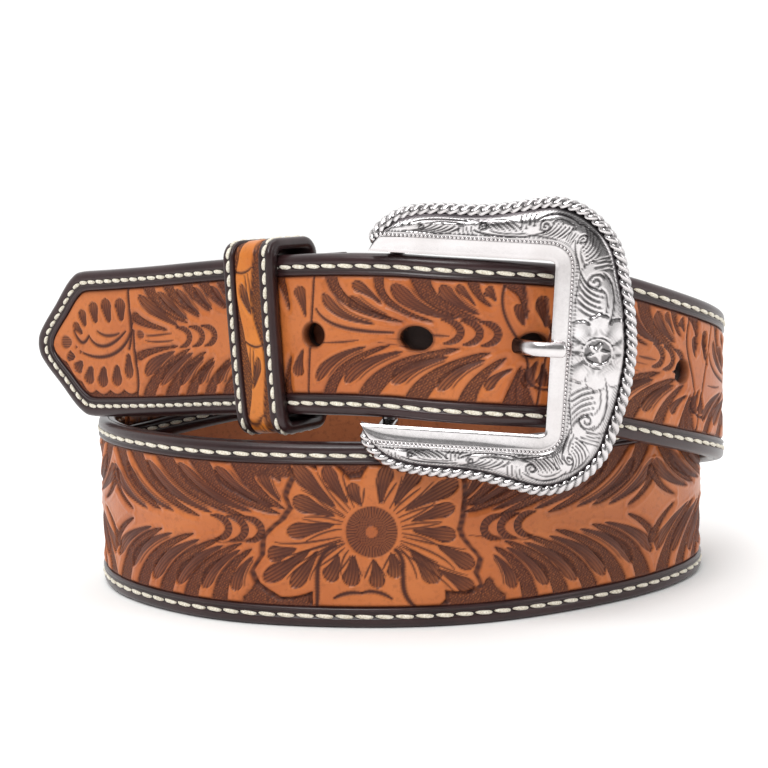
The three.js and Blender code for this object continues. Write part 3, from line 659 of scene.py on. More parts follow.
    def stroke(self, path, width, depth=0.3, dark=0.95, ends=0.35, hatch=0.0):
        """Cut line that swells in its middle and fades at both ends."""
        rows, share, side, distance = self.near_path(path, width + 0.5)
        swell = width * (ends + (1 - ends) * np.sin(np.pi * np.clip(share, 0.02, 0.98)) ** 0.6)
        if hatch > 0:
            ticks = 0.5 + 0.5 * np.cos(2 * np.pi * share * hatch)
            swell = swell * (0.82 + 0.18 * ticks)
            depth = depth * (0.8 + 0.2 * ticks)
        self.cut(rows, distance, depth, dark, swell)

    def wedges(self, at, table):
        for head, bend, tail, width in table:
            self.wedge(curve(at(*head), at(*bend), at(*tail)), width)

    def commas(self, at, table, echo=0, shortest=0, **look):
        """Commas of a table; echo puts a fine line beside those that are long enough."""
        for head, bend, tail, width in table:
            beside = echo * math.copysign(1, head[1]) if abs(tail[0] - head[0]) >= shortest else 0
            self.comma(curve(at(*head), at(*bend), at(*tail)), width, echo=beside, **look)

    def strokes(self, at, table):
        """Cut lines of a table: points, then width, depth, dark, ends and hatch of the stroke."""
        for points, look in table:
            self.stroke(curve(*(at(*point) for point in points)), *look)

    def shade_oval(self, rows, reach, across_hatch, pitch=0.62):
        """Sunk, hatched oval that fades at its rim."""
        body = smooth((1.12 - reach) / 0.3)
        lines = 0.5 + 0.5 * np.cos(2 * np.pi * across_hatch / pitch)
        self.height[rows] -= body * (0.26 + 0.08 * lines)
        self.dark[rows] = np.maximum(self.dark[rows], body * (0.55 + 0.35 * lines))
        self.light[rows] *= 1 - body

    def oval(self, x, y, long_half, wide_half):
        """Hatched oval that narrows along the strap."""
        rows = self.window(x - long_half - 1, x + long_half + 1)
        u, v = self.x[rows] - x, self.y[rows] - y
        taper = wide_half * (1 - 0.28 * u / long_half)
        self.shade_oval(rows, np.hypot(u / long_half, v / np.maximum(taper, 0.2)), v)

    def crescent(self, x, y, size, facing=1):
        """Hooked crescent stamp with ticks, bulging towards facing."""
        at = lambda u, v: (x + facing * u * size, y + v * size)
        path = curve(at(-1.15, 1.12), at(1.05, 1.05), at(1.15, -0.75), at(-0.85, -1.0), count=26)
        rows, share, side, distance = self.near_path(path, size)
        half = size * 0.33 * np.sin(np.pi * np.clip(share, 0.03, 0.97)) ** 0.7
        inside = half - distance
        ticks = 0.5 + 0.5 * np.cos(2 * np.pi * share * 13)
        body = smooth(inside / 0.24 + 0.5)
        self.height[rows] -= body * (0.36 + 0.12 * ticks)
        self.dark[rows] = np.maximum(self.dark[rows], body * (0.66 + 0.34 * ticks))
        self.light[rows] *= 1 - body
        self.rim(rows, inside, 0.28, 0.08)


def curve(*points, count=22):
    """Points on a Bezier curve with three or four control points."""
    t = np.linspace(0, 1, count)[:, None]
    p = np.array(points, float)
    if len(p) == 3:
        return (1 - t) ** 2 * p[0] + 2 * t * (1 - t) * p[1] + t * t * p[2]
    return ((1 - t) ** 3 * p[0] + 3 * t * (1 - t) ** 2 * p[1] + 3 * t * t * (1 - t) * p[2] + t ** 3 * p[3])


# Marks of one unit of the billet's pattern, from its divider: start, bend, end and half width
BILLET_PERIOD = 57.0
BILLET_FIRST = 92.0
BILLET_COMMAS = [
    ((3.6, 9.6), (6.4, 3.6), (16.0, 2.8), 1.25), ((9.6, 8.6), (12.6, 6.0), (19.5, 4.2), 1.45),
    ((10.8, 12.0), (14.4, 10.4), (17.6, 7.4), 1.25), ((20.2, 12.0), (24.0, 6.2), (35.0, 5.2), 1.75),
    ((31.0, 12.4), (33.6, 8.6), (40.0, 6.4), 1.55), ((34.6, 12.6), (37.0, 10.8), (39.0, 8.4), 0.85),
    ((41.2, 12.2), (42.6, 11.4), (43.6, 9.6), 1.35),
    ((1.0, -10.6), (3.6, -5.2), (14.0, -2.5), 1.25), ((8.6, -11.0), (12.0, -6.0), (23.0, -3.2), 1.45),
    ((20.6, -10.6), (24.6, -6.0), (33.5, -3.7), 1.75), ((31.8, -11.4), (34.6, -6.4), (42.0, -3.8), 1.5),
    ((42.7, -10.6), (44.0, -7.4), (48.4, -5.6), 1.15),
    ((50.0, 9.0), (49.0, 6.6), (50.6, 4.4), 1.8), ((54.0, 10.6), (54.6, 6.6), (58.0, 3.2), 1.6),
    ((56.0, -9.2), (56.6, -6.8), (55.6, -4.0), 1.8), ((-3.0, 11.4), (-2.0, 8.2), (-1.4, 4.2), 1.5),
    ((-4.6, -9.6), (-4.4, -6.8), (-2.6, -3.4), 1.6),
]
BILLET_WEDGES = [
    ((5.6, 14.0), (6.6, 5.6), (22.6, 3.5), 1.35), ((17.0, 14.0), (15.8, 6.4), (29.6, 4.1), 1.1),
    ((26.0, 14.0), (27.6, 7.4), (40.4, 5.1), 2.2), ((38.2, 14.0), (38.8, 10.6), (42.6, 8.4), 1.3),
    ((47.8, 14.2), (48.6, 12.6), (49.6, 11.0), 2.6), ((-8.4, 14.0), (-7.0, 11.0), (-6.0, 6.0), 1.3),
    ((4.0, -14.0), (5.6, -6.6), (19.5, -2.1), 1.5), ((14.4, -14.0), (17.6, -6.6), (36.0, -1.6), 2.3),
    ((26.6, -14.0), (29.6, -6.6), (43.0, -2.2), 2.3), ((38.4, -14.0), (39.4, -8.0), (46.8, -3.2), 2.0),
    ((50.6, -14.0), (50.4, -9.0), (51.6, -5.4), 4.2), ((-8.0, -14.0), (-8.4, -10.0), (-6.4, -5.0), 1.3),
]


BILLET_CRESCENTS = (34.6, 39.0, 43.2)
BILLET_STROKES = [
    (((2.6, -1.7), (7, -1.9), (12, -1.1)), (0.5, 0.25, 0.9, 0.3, 10)),
    (((27.4, 1.0), (30, 1.1), (33.4, 1.1)), (0.6, 0.25, 0.9, 0.4, 9)),
    (((1.6, 6.0), (4.6, 0.4), (20.5, 1.0)), (0.85, 0.40, 1.0, 0.5, 30)),
    (((17, -1.4), (24, -2.16), (31, -2.8)), (0.26, 0.14, 0.7, 0.4)),
    (((17, -0.3), (24, -0.4), (31, -0.6)), (0.26, 0.14, 0.7, 0.4)),
    (((1.4, 14), (0.6, 6), (-1.0, -4), (-1.8, -14)), (0.62, 0.42, 1.0, 0.9, 34)),
    (((45.4, 13.0), (43.6, 4.6), (51.0, 1.6), (52.2, -5.0)), (0.72, 0.45, 1.0, 0.85, 26)),
    (((52.2, -5.0), (51.4, -8.4), (54.2, -10.4), (58.5, -9.8)), (0.7, 0.42, 1.0, 0.85, 14)),
]


def billet_unit(art, start):
    """One spray of the billet and the divider before it."""
    at = lambda x, y: (start + x, y)
    art.wedges(at, BILLET_WEDGES)
    art.commas(at, BILLET_COMMAS, echo=1, shortest=7)
    for x in BILLET_CRESCENTS:
        art.crescent(start + x, 1.9, 2.5)
    art.strokes(at, BILLET_STROKES)


FLOWER_PERIOD = 157.0
FLOWER_FIRST = 580.0
FLOWER_RISE = 1.1
# Scalloped edge of the large flower: angle in degrees, reach from its middle
FLOWER_EDGE = [
    (0, 20.3), (13, 21.9), (27, 24.3), (38, 26), (50, 21), (60, 19), (75, 18.5), (88, 17), (100, 13),
    (112, 13.5), (120, 19), (128, 21), (131, 19.5), (139, 25.5), (146, 21.9), (158, 21.6), (164, 19.5),
    (173, 21), (184, 25.8), (193, 26.8), (199, 30.6), (205, 30.5), (210, 29), (216, 27.5), (221, 24),
    (225, 20.5), (231, 23), (240, 24), (270, 24), (300, 24), (310, 24), (316, 24), (320, 22.5), (326, 27),
    (332, 29), (336.5, 26.3), (344, 26.3), (350, 22.9), (355, 21), (360, 20.3),
]
# Marks on the petals, from the flower's middle: outer end, inner end, half width
FLOWER_COMMAS = [
    ((-10.8, -11.6), (-8.0, -5.4), 2.0), ((-5.6, -12.8), (-4.6, -5.6), 2.1), ((0.9, -13.4), (0.2, -6.4), 1.8),
    ((5.2, -11.0), (4.4, -5.0), 1.8), ((15.2, -12.4), (9.0, -4.4), 2.3), ((24.0, -9.2), (15.4, -3.6), 1.9),
    ((24.0, -15.2), (15.6, -9.4), 1.8), ((-25.2, -6.2), (-18.0, -4.2), 2.0),
    ((-26.4, -12.0), (-14.8, -4.6), 2.0),
    ((-19.4, -13.4), (-13.0, -4.6), 1.8), ((-20.2, -0.4), (-9.0, 1.6), 1.9), ((-18.6, 7.6), (-8.6, 3.8), 2.1),
    ((-18.2, 15.6), (-8.4, 6.0), 2.1), ((-10.6, 15.6), (-5.4, 7.0), 1.7), ((-4.4, 11.6), (-2.2, 6.2), 1.5),
    ((4.4, 15.6), (2.4, 6.8), 1.8), ((11.8, 15.0), (5.6, 6.2), 1.8), ((20.6, 11.4), (8.0, 5.0), 2.1),
    ((19.6, 5.6), (9.4, 2.4), 1.7), ((19.8, -1.4), (9.6, 0.2), 1.9),
]
# Marks of the spray left of the flower, mirrored for the right: start, bend, end, half width
SPRAY_COMMAS = [
    ((-26.6, 14.6), (-25.0, 10.6), (-21.6, 7.4), 1.5), ((-38.6, 14.8), (-34.0, 9.2), (-23.6, 6.0), 1.9),
    ((-50.2, 14.8), (-44.0, 8.6), (-29.0, 4.6), 2.0), ((-62.0, 14.4), (-55.0, 7.4), (-40.0, 3.8), 1.9),
    ((-71.6, 13.0), (-66.0, 6.0), (-52.0, 3.0), 1.6), ((-34.0, -14.8), (-33.8, -10.4), (-29.0, -6.2), 1.6),
    ((-43.2, -15.0), (-41.4, -9.6), (-32.4, -4.8), 1.8), ((-51.6, -15.0), (-48.8, -9.0), (-37.0, -4.0), 1.9),
    ((-60.6, -15.0), (-57.0, -8.0), (-44.0, -3.2), 1.9), ((-70.4, -13.4), (-66.0, -6.4), (-53.0, -2.6), 1.6),
    ((-78.2, 11.6), (-74.0, 5.4), (-62.0, 2.4), 1.6), ((-77.6, -11.6), (-73.6, -5.6), (-61.0, -2.0), 1.6),
]
SPRAY_WEDGES = [
    ((-32.4, 17.2), (-29.6, 9.4), (-20.8, 5.6), 2.2), ((-44.4, 17.2), (-39.0, 8.6), (-22.0, 4.4), 2.5),
    ((-56.0, 17.2), (-49.0, 7.6), (-31.0, 3.4), 2.5), ((-67.4, 17.2), (-60.0, 6.4), (-44.0, 2.6), 2.3),
    ((-38.6, -17.2), (-37.4, -9.8), (-29.4, -4.4), 2.1), ((-47.4, -17.2), (-45.0, -8.8), (-32.0, -3.2), 2.1),
    ((-56.2, -17.2), (-52.6, -8.0), (-38.0, -2.6), 2.2), ((-65.8, -17.2), (-61.6, -7.0), (-46.0, -2.0), 2.2),
    ((-75.0, 17.2), (-71.0, 7.0), (-57.0, 2.8), 2.6), ((-74.5, -17.2), (-71.0, -7.0), (-57.0, -2.0), 2.6),
    ((-78.5, 9.0), (-76.5, 4.0), (-69.0, 1.4), 1.3), ((-78.5, -8.4), (-76.5, -4.0), (-69.0, -1.0), 1.3),
    ((-28.6, -17.2), (-27.6, -14.6), (-28.0, -11.6), 3.4), ((-24.8, 17.2), (-23.8, 14.6), (-21.6, 12.2), 1.6),
]


SPRAY_CRESCENTS = (-36.9, -32.5, -28.3)
SPRAY_RISE = FLOWER_RISE * 0.6
FLOWER_STROKES = [
    (((-8.6, -3.4), (-14.6, -5.6), (-12.6, -11.5), (-13.4, -17.6)), (1.15, 0.45, 1.0, 0.75, 20)),
    (((5.6, -4.4), (9.4, -8.0), (4.6, -13.0), (9.6, -17.8)), (1.15, 0.45, 1.0, 0.75, 20)),
    (((-9.1, -15.8), (-6.0, -14.0), (-2.6, -14.6)), (0.95, 0.35, 1.0, 0.5, 8)),
    (((-2.6, -14.6), (0.6, -13.2), (4.4, -15.9)), (0.95, 0.35, 1.0, 0.5, 8)),
]
PETAL_START = 7.2
HEART_RADIUS = 6.3


def flower_spray(art, middle, mirror):
    """Spray on one side of the flower, with the lines and crescents of its stem."""
    at = lambda x, y: (middle + x * mirror, SPRAY_RISE + y)
    art.wedges(at, SPRAY_WEDGES)
    art.commas(at, SPRAY_COMMAS, echo=mirror)
    for k in range(4):
        low = -3.4 + 0.5 * k
        points = ((-40 + 3 * k, low), (-35 + 3 * k, low + 0.2), (-30 + 2.6 * k, low + 1))
        art.strokes(at, [(points, (0.28, 0.16, 0.75, 0.4))])
    for x in SPRAY_CRESCENTS:
        art.crescent(middle + x * mirror, SPRAY_RISE + 0.1, 2.75, mirror)


def flower_body(art, middle):
    """Raised flower inside its ticked, scalloped edge, and the ground along the borders."""
    rows = art.window(middle - 34, middle + 34)
    dx, dy = art.x[rows] - middle, art.y[rows] - FLOWER_RISE
    angle = np.degrees(np.arctan2(dy, dx)) % 360
    inside = np.interp(angle, *np.array(FLOWER_EDGE).T) - np.hypot(dx, dy)
    body = smooth(inside / 0.35 + 0.5)
    art.blend(rows, body, 0.14 + 0.18 * smooth(inside / 2.0), 0.0, 0.35)
    border = smooth((np.abs(art.y[rows]) - 13.2) / 0.8)
    art.ground(rows, border * (1 - body) * smooth((32 - np.abs(dx)) / 3))
    ticks = 0.5 + 0.5 * np.cos(np.radians(angle) * 88)
    ditch = smooth(1.5 - np.abs(inside + 0.5) / 0.8)
    art.height[rows] -= ditch * (0.42 + 0.10 * ticks)
    art.dark[rows] = np.maximum(art.dark[rows], ditch * (0.78 + 0.22 * ticks))
    art.light[rows] *= 1 - ditch


def flower_petals(art, at):
    """Hatched mark of each petal, and the two fine lines beside it."""
    for outer, inner, width in FLOWER_COMMAS:
        bend = (outer[0] * 0.55 + inner[0] * 0.45 - outer[1] * 0.06, outer[1] * 0.55 + inner[1] * 0.45)
        art.comma(curve(at(*outer), at(*bend), at(*inner)), width, head=0.3, tail=0.2)
    for outer, inner, width in FLOWER_COMMAS:
        long = math.hypot(outer[0] - inner[0], outer[1] - inner[1])
        dx, dy = (outer[0] - inner[0]) / long, (outer[1] - inner[1]) / long
        start = PETAL_START / math.hypot(*inner)
        for turn in (-1, 1):
            beside = lambda x, y, on, out: at(x + dx * on - dy * turn * out, y + dy * on + dx * turn * out)
            path = curve(beside(inner[0] * start, inner[1] * start, 0, 0.55), beside(*inner, long * 0.2, 0.8),
                         beside(*inner, long * 0.62, width + 0.75), count=10)
            art.stroke(path, 0.46, 0.22, 0.95, 0.4)


def flower_heart(art, middle):
    """Spoked disc with a dotted middle."""
    rows = art.window(middle - 8, middle + 8)
    dx, dy = art.x[rows] - middle, art.y[rows] - FLOWER_RISE
    reach = np.hypot(dx, dy)
    angle = np.arctan2(dy, dx)
    spokes = 0.5 + 0.5 * np.cos(angle * 46)
    dots = 0.5 + 0.5 * np.cos(reach * 7.2) * np.cos(angle * 19)
    level = np.where(reach > 3.6, 0.16 * spokes, -0.14 + 0.14 * dots)
    level = np.where(reach < 1.4, 0.22, level) - 0.25 * smooth(1 - np.abs(reach - HEART_RADIUS) / 0.5)
    shade = np.where(reach > 3.6, 0.98 - 0.45 * spokes, 0.95 - 0.4 * dots)
    shade = np.where(reach < 1.4, 0.15, shade)
    art.blend(rows, smooth((HEART_RADIUS - reach) / 0.4), level, shade)


def flower_unit(art, middle):
    at = lambda x, y: (middle + x, FLOWER_RISE + y)
    for mirror in (1, -1):
        flower_spray(art, middle, mirror)
    flower_body(art, middle)
    flower_petals(art, at)
    art.strokes(at, FLOWER_STROKES)
    flower_heart(art, middle)


# Half rosette in the point: marks by start, bend, end and half width
TIP_OVALS = [
    ((14.6, 5.6), (15.6, 4.4), (17.4, 2.8), 1.05), ((17.6, 9.0), (17.9, 7.0), (18.6, 4.6), 1.35),
    ((22.0, 10.9), (22.0, 8.6), (22.6, 5.4), 1.6), ((26.6, 11.6), (26.6, 9.2), (27.4, 5.4), 1.7),
    ((31.8, 11.4), (31.7, 9.0), (31.7, 5.6), 1.75), ((11.4, -2.5), (12.2, -3.0), (14.0, -3.2), 1.35),
    ((14.0, -6.9), (14.8, -6.0), (16.6, -4.4), 1.55), ((18.2, -10.2), (18.7, -8.2), (19.8, -5.6), 1.65),
    ((23.2, -11.0), (23.4, -8.8), (24.3, -5.8), 1.7), ((28.4, -10.8), (28.4, -8.6), (28.9, -5.4), 1.65),
    ((32.9, -9.0), (32.8, -6.6), (33.2, -2.6), 1.4),
]
TIP_COMMAS = [
    ((38.6, 11.8), (41.0, 8.6), (51.0, 3.6), 1.55), ((45.2, 12.2), (47.6, 9.2), (54.4, 5.0), 1.5),
    ((51.4, 12.4), (53.4, 9.6), (58.4, 6.0), 1.35), ((57.0, 12.6), (58.6, 10.0), (62.6, 7.0), 1.25),
    ((62.6, 12.6), (64.0, 10.0), (68.0, 7.0), 1.25), ((68.6, 12.4), (69.6, 9.8), (73.6, 6.6), 1.3),
    ((38.6, -8.2), (41.4, -4.8), (49.0, -2.6), 1.6), ((43.4, -10.8), (46.0, -6.8), (55.0, -3.2), 1.6),
    ((49.8, -11.0), (51.8, -7.6), (58.4, -4.4), 1.4), ((56.0, -11.0), (57.2, -8.2), (61.8, -5.6), 1.3),
    ((62.0, -11.0), (63.0, -8.4), (67.4, -5.8), 1.3), ((68.0, -11.0), (69.0, -8.4), (73.4, -5.8), 1.3),
]
TIP_WEDGES = [
    ((41.8, 14.0), (44.0, 8.4), (54.0, 4.2), 1.7), ((48.4, 14.0), (50.4, 9.6), (58.0, 5.4), 1.5),
    ((54.8, 14.0), (56.2, 10.4), (61.6, 6.6), 1.5), ((60.2, 14.0), (61.4, 10.6), (66.6, 7.0), 1.5),
    ((66.0, 14.0), (67.0, 10.4), (72.0, 6.8), 1.5), ((38.6, -14.0), (41.2, -7.4), (54.0, -2.2), 1.8),
    ((46.2, -14.0), (48.4, -8.0), (59.0, -3.2), 1.8), ((52.8, -14.0), (54.4, -9.2), (61.4, -4.8), 1.6),
    ((59.0, -14.0), (60.2, -9.8), (66.6, -5.2), 1.6), ((65.0, -14.0), (66.2, -9.8), (72.6, -5.2), 1.6),
    ((36.6, 6.4), (38.6, 4.6), (47.0, 2.8), 1.2), ((37.0, -3.4), (40.0, -2.0), (50.0, -1.4), 1.0),
]
TIP_STROKES = [
    (((35.4, 5.0), (33.6, -2.6), (24.0, -5.0), (17.2, -2.2)), (0.95, 0.42, 1.0, 0.5, 24)),
    (((14.4, 3.6), (16.6, -1.2), (18.4, 0.6), (19.6, 2.2)), (0.85, 0.35, 1.0, 0.6)),
    (((19.6, 2.2), (22.0, -1.8), (27.0, -1.4), (32.8, 3.0)), (0.95, 0.40, 1.0, 0.4, 18)),
    (((22.8, 3.4), (25.6, 1.2), (30.6, 2.6)), (0.75, 0.30, 0.95, 0.4)),
    (((35.0, 14.0), (34.4, 8.0), (35.6, 3.0), (33.6, -1.4)), (0.85, 0.42, 1.0, 0.9, 22)),
    (((35.6, 3.0), (34.6, -4), (37.0, -9), (34.6, -14.0)), (0.85, 0.42, 1.0, 0.9, 22)),
]
TIP_STEMS = [
    (((40.0, 1.6), (44.0, 1.6), (48.6, 1.9)), (0.55, 0.25, 0.95, 0.4, 12)),
    (((39.6, 0.4), (44.0, -0.3), (49.0, 0.1)), (0.5, 0.22, 0.95, 0.4, 12)),
]
TIP_CRESCENTS = (53.0, 57.2, 61.2)


def tip_flower(art, half):
    """Half rosette that fills the point, and the spray behind it."""
    rows = art.window(0, 37)
    x, y = art.x[rows], art.y[rows]
    scallop = np.abs(np.sin((x - 11.0) * math.pi / 4.9))
    inside = (half[rows] - 1.9 + 1.1 * scallop - np.abs(y)) * np.where(x < 19, 0.75, 1)
    fade = smooth((1.5 - y) / 2) * (x < 35.2) * (x > 8)
    art.ground(rows, (1 - smooth(inside / 0.3 + 0.5)) * fade)
    art.rim(rows, np.where(fade > 0.5, inside, 9), 0.4, 0.12)
    shade = smooth(1 - (half[rows] - np.abs(y)) / 1.8) * (x < 35) * 0.6
    art.dark[rows] = np.maximum(art.dark[rows], shade)
    at = lambda x, y: (x, y)
    art.wedges(at, TIP_WEDGES)
    art.commas(at, TIP_OVALS, head=0.36, tail=0.42)
    art.commas(at, TIP_COMMAS, echo=1, head=0.34, tail=0.2)
    art.oval(11.4, 0.7, 2.0, 1.8)
    for x, y in ((14.8, -0.6), (16.2, -1.9)):
        art.oval(x, y, 0.5, 0.5)
    art.strokes(at, TIP_STROKES)
    art.oval(38.0, 2.0, 1.3, 1.2)
    art.strokes(at, TIP_STEMS)
    for x in TIP_CRESCENTS:
        art.crescent(x, 0.6, 2.3)


PLAIN_SHADED_END = 78.0


def tooled_relief(along, across, half):
    """Whole pattern of the strap, for grid points on the flat field."""
    art = Relief(along, across)
    if along.min() < 40:
        tip_flower(art, half)
    for k in range(0, 4):
        start = BILLET_FIRST + BILLET_PERIOD * k
        if start + 60 > along.min() and start - 10 < along.max():
            billet_unit(art, start)
    for k in range(-1, 3):
        middle = FLOWER_FIRST + FLOWER_PERIOD * k
        if middle + 80 > along.min() and middle - 80 < along.max():
            flower_unit(art, middle)
    # The end under the fold and keeper is left plain and untooled, and painted dark as painted shade for the
    # shadow there.
    plain_shaded = smooth((along - BELT_LENGTH + PLAIN_SHADED_END) / 12)
    art.height += (0.1 - art.height) * plain_shaded
    art.dark += (0.9 - art.dark) * plain_shaded
    art.light *= 1 - plain_shaded
    rim = half - np.abs(across)
    groove = smooth(1 - rim / 0.9)
    art.height = art.height * (1 - groove) - 0.3 * groove
    art.dark = np.maximum(art.dark, groove)
    art.light *= 1 - groove
    return art


# Tooled field, in four lengths that meet edge to edge

FIELD_LEVEL = 0.34
FIELD_BACK = 2.45


def field_piece(name, start, end, step, columns):
    if start < FIELD_START:
        shares = np.append([0, 0.004, 0.012, 0.03, 0.055], np.arange(0.08, 1.15, 0.027))
        point = FIELD_START + FIELD_POINT * shares
        rows = np.append(point, np.arange(point[-1] + step, BELT_LENGTH, step))
    else:
        rows = np.arange(start, end + step / 2, step)
    rows = rows[(rows >= start) & (rows <= end + step / 2)]
    rows[-1] = end
    share = np.clip((rows - FIELD_START) / FIELD_POINT, 0, 1.15)
    half = point_share(share) * (half_width(rows) - BORDER)
    side = np.linspace(-1, 1, columns)
    along = np.repeat(rows[:, None], columns, axis=1)
    across = half[:, None] * side[None, :]
    art = tooled_relief(along, across, np.repeat(half[:, None], columns, axis=1))
    deep = FIELD_LEVEL - art.height
    for middle, long_half, high_half in hole_places():
        reach = np.hypot((along - middle) / long_half, across / high_half)
        # Painted shade: the field darkens towards and into each punched hole; the sunk rim is real shape.
        art.dark = np.maximum(art.dark, smooth((1.22 - reach) / 0.14))
        deep += 0.35 * smooth((1.2 - reach) / 0.25)
    faces = grid_faces(*along.shape)
    along, across, faces = punch(along, across, faces, hole_places())
    colours = paint(art.dark, art.light)
    obj = punched_sheet(name, along, deep, across, faces, colours, FIELD_BACK, tan_leather)
    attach(obj, "root")
    return obj


FIELD_END = BELT_LENGTH - 10.0
FINE_STEP = 0.31
COARSE_STEP = 0.7
# Where the lengths meet
CUTS = (240, 470, 725)
fields = [
    field_piece("tooled_field_tip", 0, CUTS[0], FINE_STEP, 88),
    field_piece("tooled_field_back", CUTS[0], CUTS[1], COARSE_STEP, 54),
    field_piece("tooled_field_front", CUTS[1], CUTS[2], FINE_STEP, 110),
    field_piece("tooled_field_end", CUTS[2], FIELD_END, COARSE_STEP, 54),
]
for piece in fields:
    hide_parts("tooled_panel")


# Stitched border of the face leather

FACE_PROFILE = [
    (5.0, 1.20), (5.0, 0.50), (4.86, 0.16), (4.60, -0.10), (4.30, -0.10), (4.02, 0.16), (3.80, 0.16),
    (3.60, 0.02), (3.42, 0.04), (3.24, 0.26), (3.02, 0.40), (2.72, 0.40), (2.50, 0.26), (2.32, 0.04),
    (2.05, -0.04), (1.55, -0.02), (1.10, 0.08), (0.70, 0.28), (0.38, 0.60), (0.14, 1.02), (0.02, 1.50),
    (0.0, 1.95), (0.06, 2.30), (0.30, 2.48), (5.0, 2.48),
]
LINING_PROFILE = [
    (5.0, 2.52), (0.30, 2.52), (0.06, 2.68), (0.0, 3.0), (0.06, 3.5), (0.26, 3.95), (0.6, 4.26), (1.1, 4.44),
    (1.7, 4.5), (2.32, 4.5), (2.5, 4.34), (2.72, 4.20), (3.02, 4.20), (3.24, 4.34), (3.42, 4.5), (4.2, 4.5),
    (5.0, 4.5),
]
BORDER_STEP = 1.2
THREAD_INSET = 2.87


def stitch_pitch(along):
    """Spacing of the stitches, finer round the point of the tip."""
    return np.interp(along, [0, 20, 70, 85, 95, 110], [2.5, 2.9, 3.3, 3.8, 4.2, 4.75])


def edge_paint(profile, shape, line_at):
    """Dark antique in the grooves of a border, as the first colour channel."""
    inset = np.array([row[0] for row in profile])
    groove = np.exp(-((inset - THREAD_INSET) / 0.35) ** 2)
    line = np.exp(-((inset - line_at) / 0.15) ** 2)
    worn = np.exp(-((inset - 1.9) / 0.5) ** 2) * 0.22
    dark = np.broadcast_to(np.clip(groove * 0.8 + line * 0.7, 0, 1), shape)
    return paint(dark, worn)


def border_piece(name, profile, end, material, line_at, replaced):
    along, deep, across = border_strip(profile, BORDER_STEP, end)
    colours = edge_paint(profile, along.shape, line_at)
    obj = ring_solid(name, place(along, deep, across), material, colours)
    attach(obj, "root")
    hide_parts(replaced)


border_piece("strap_border", FACE_PROFILE, END_OF_FACE, dark_leather, 3.9, "strap_face")
border_piece(
    "lining_border", LINING_PROFILE, END_OF_LINING, dark_leather, 9.0, "strap_lining")


# Lining between its stitched borders

LINING_STEP = 0.95
LINING_COLUMNS = 31


def lining_sheet():
    inner_along, inner_half = outline(LINING_STEP, END_OF_LINING)[2:]
    side = np.linspace(-1, 1, LINING_COLUMNS)
    along = np.repeat(inner_along[:, None], LINING_COLUMNS, axis=1)
    across = (inner_half[:, None] + 0.02) * side[None, :]
    faces = grid_faces(*along.shape)[:, ::-1]
    places = hole_places()
    along, across, faces = punch(along, across, faces, places[:1] + places[3:])
    wave = 0.05 * np.sin(along * 0.11) * np.cos(across * 0.14) + 0.04 * np.sin(along * 0.31 + across * 0.2)
    edge_shade = smooth((np.abs(side) - 0.90) / 0.1) * 0.55
    dark = np.broadcast_to(edge_shade, along.shape)
    # Painted shade: the lining darkens towards and into each punched hole.
    for middle, long_half, high_half in hole_places():
        reach = np.hypot((along - middle) / long_half, across / high_half)
        dark = np.maximum(dark, smooth((1.25 - reach) / 0.2))
    obj = punched_sheet(
        "lining_sheet", along, STRAP_THICK + wave, across, faces, paint(dark), LINING_FROM + 0.05,
        lining_leather)
    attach(obj, "root")
    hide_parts("strap_lining")


lining_sheet()


# Stitches

STITCH_SHARE = 0.90
STITCH_HALF_WIDE = 0.50
STITCH_HALF_HIGH = 0.42
STITCH_SLANT = 0.15
# Share of the half length, share of the thread's size, rise
STITCH_SHAPE = [
    (-1, 0.30, -1.0), (-0.84, 0.62, -0.45), (-0.45, 0.95, 0.02), (0, 1.0, 0.12), (0.45, 1.0, 0.02),
    (0.84, 0.78, -0.40), (1, 0.40, -1.0),
]
STITCH_SIDES = 8


def stitch_row(centres, ahead, outwards, lengths):
    """Plump stitches: middle points, directions along the row and out of the leather."""
    points = []
    faces = []
    turns = circle(STITCH_SIDES)
    for centre, forward, out, length in zip(centres, ahead, outwards, lengths):
        beside = np.cross(forward, out)
        base = len(points)
        for share, size, sink in STITCH_SHAPE:
            middle = (centre + forward * (share * length / 2) + beside * (share * STITCH_SLANT)
                      + out * (sink * STITCH_HALF_HIGH))
            for turn in turns:
                points.append(middle + beside * (math.cos(turn) * STITCH_HALF_WIDE * size)
                              + out * (math.sin(turn) * STITCH_HALF_HIGH * size))
        rings = len(STITCH_SHAPE)
        for r in range(rings - 1):
            for s in range(STITCH_SIDES):
                t = (s + 1) % STITCH_SIDES
                faces.append([base + r * STITCH_SIDES + s, base + r * STITCH_SIDES + t,
                              base + (r + 1) * STITCH_SIDES + t, base + (r + 1) * STITCH_SIDES + s])
        faces.append([base + s for s in range(STITCH_SIDES)][::-1])
        faces.append([base + (rings - 1) * STITCH_SIDES + s for s in range(STITCH_SIDES)])
    return points, faces


def row_along(line, pitch_at):
    """Middles, directions and lengths of stitches laid along a dense line of (point, out) pairs."""
    points, outs, alongs = line
    run = run_of(points)
    spots = []
    here = 0.0
    while here < run[-1]:
        pitch = float(pitch_at(np.interp(here, run, alongs)))
        if here + pitch > run[-1]:
            break
        spots.append((here + pitch / 2, pitch))
        here += pitch
    middles = np.array([s[0] for s in spots])
    lengths = np.array([s[1] for s in spots]) * STITCH_SHARE
    read = lambda data, at: np.stack([np.interp(at, run, data[:, k]) for k in range(3)], -1)
    centre = read(points, middles)
    ahead = unit(read(points, middles + 0.4) - read(points, middles - 0.4))
    out = read(outs, middles)
    out = unit(out - ahead * np.sum(out * ahead, axis=1, keepdims=True))
    return centre, ahead, out, lengths


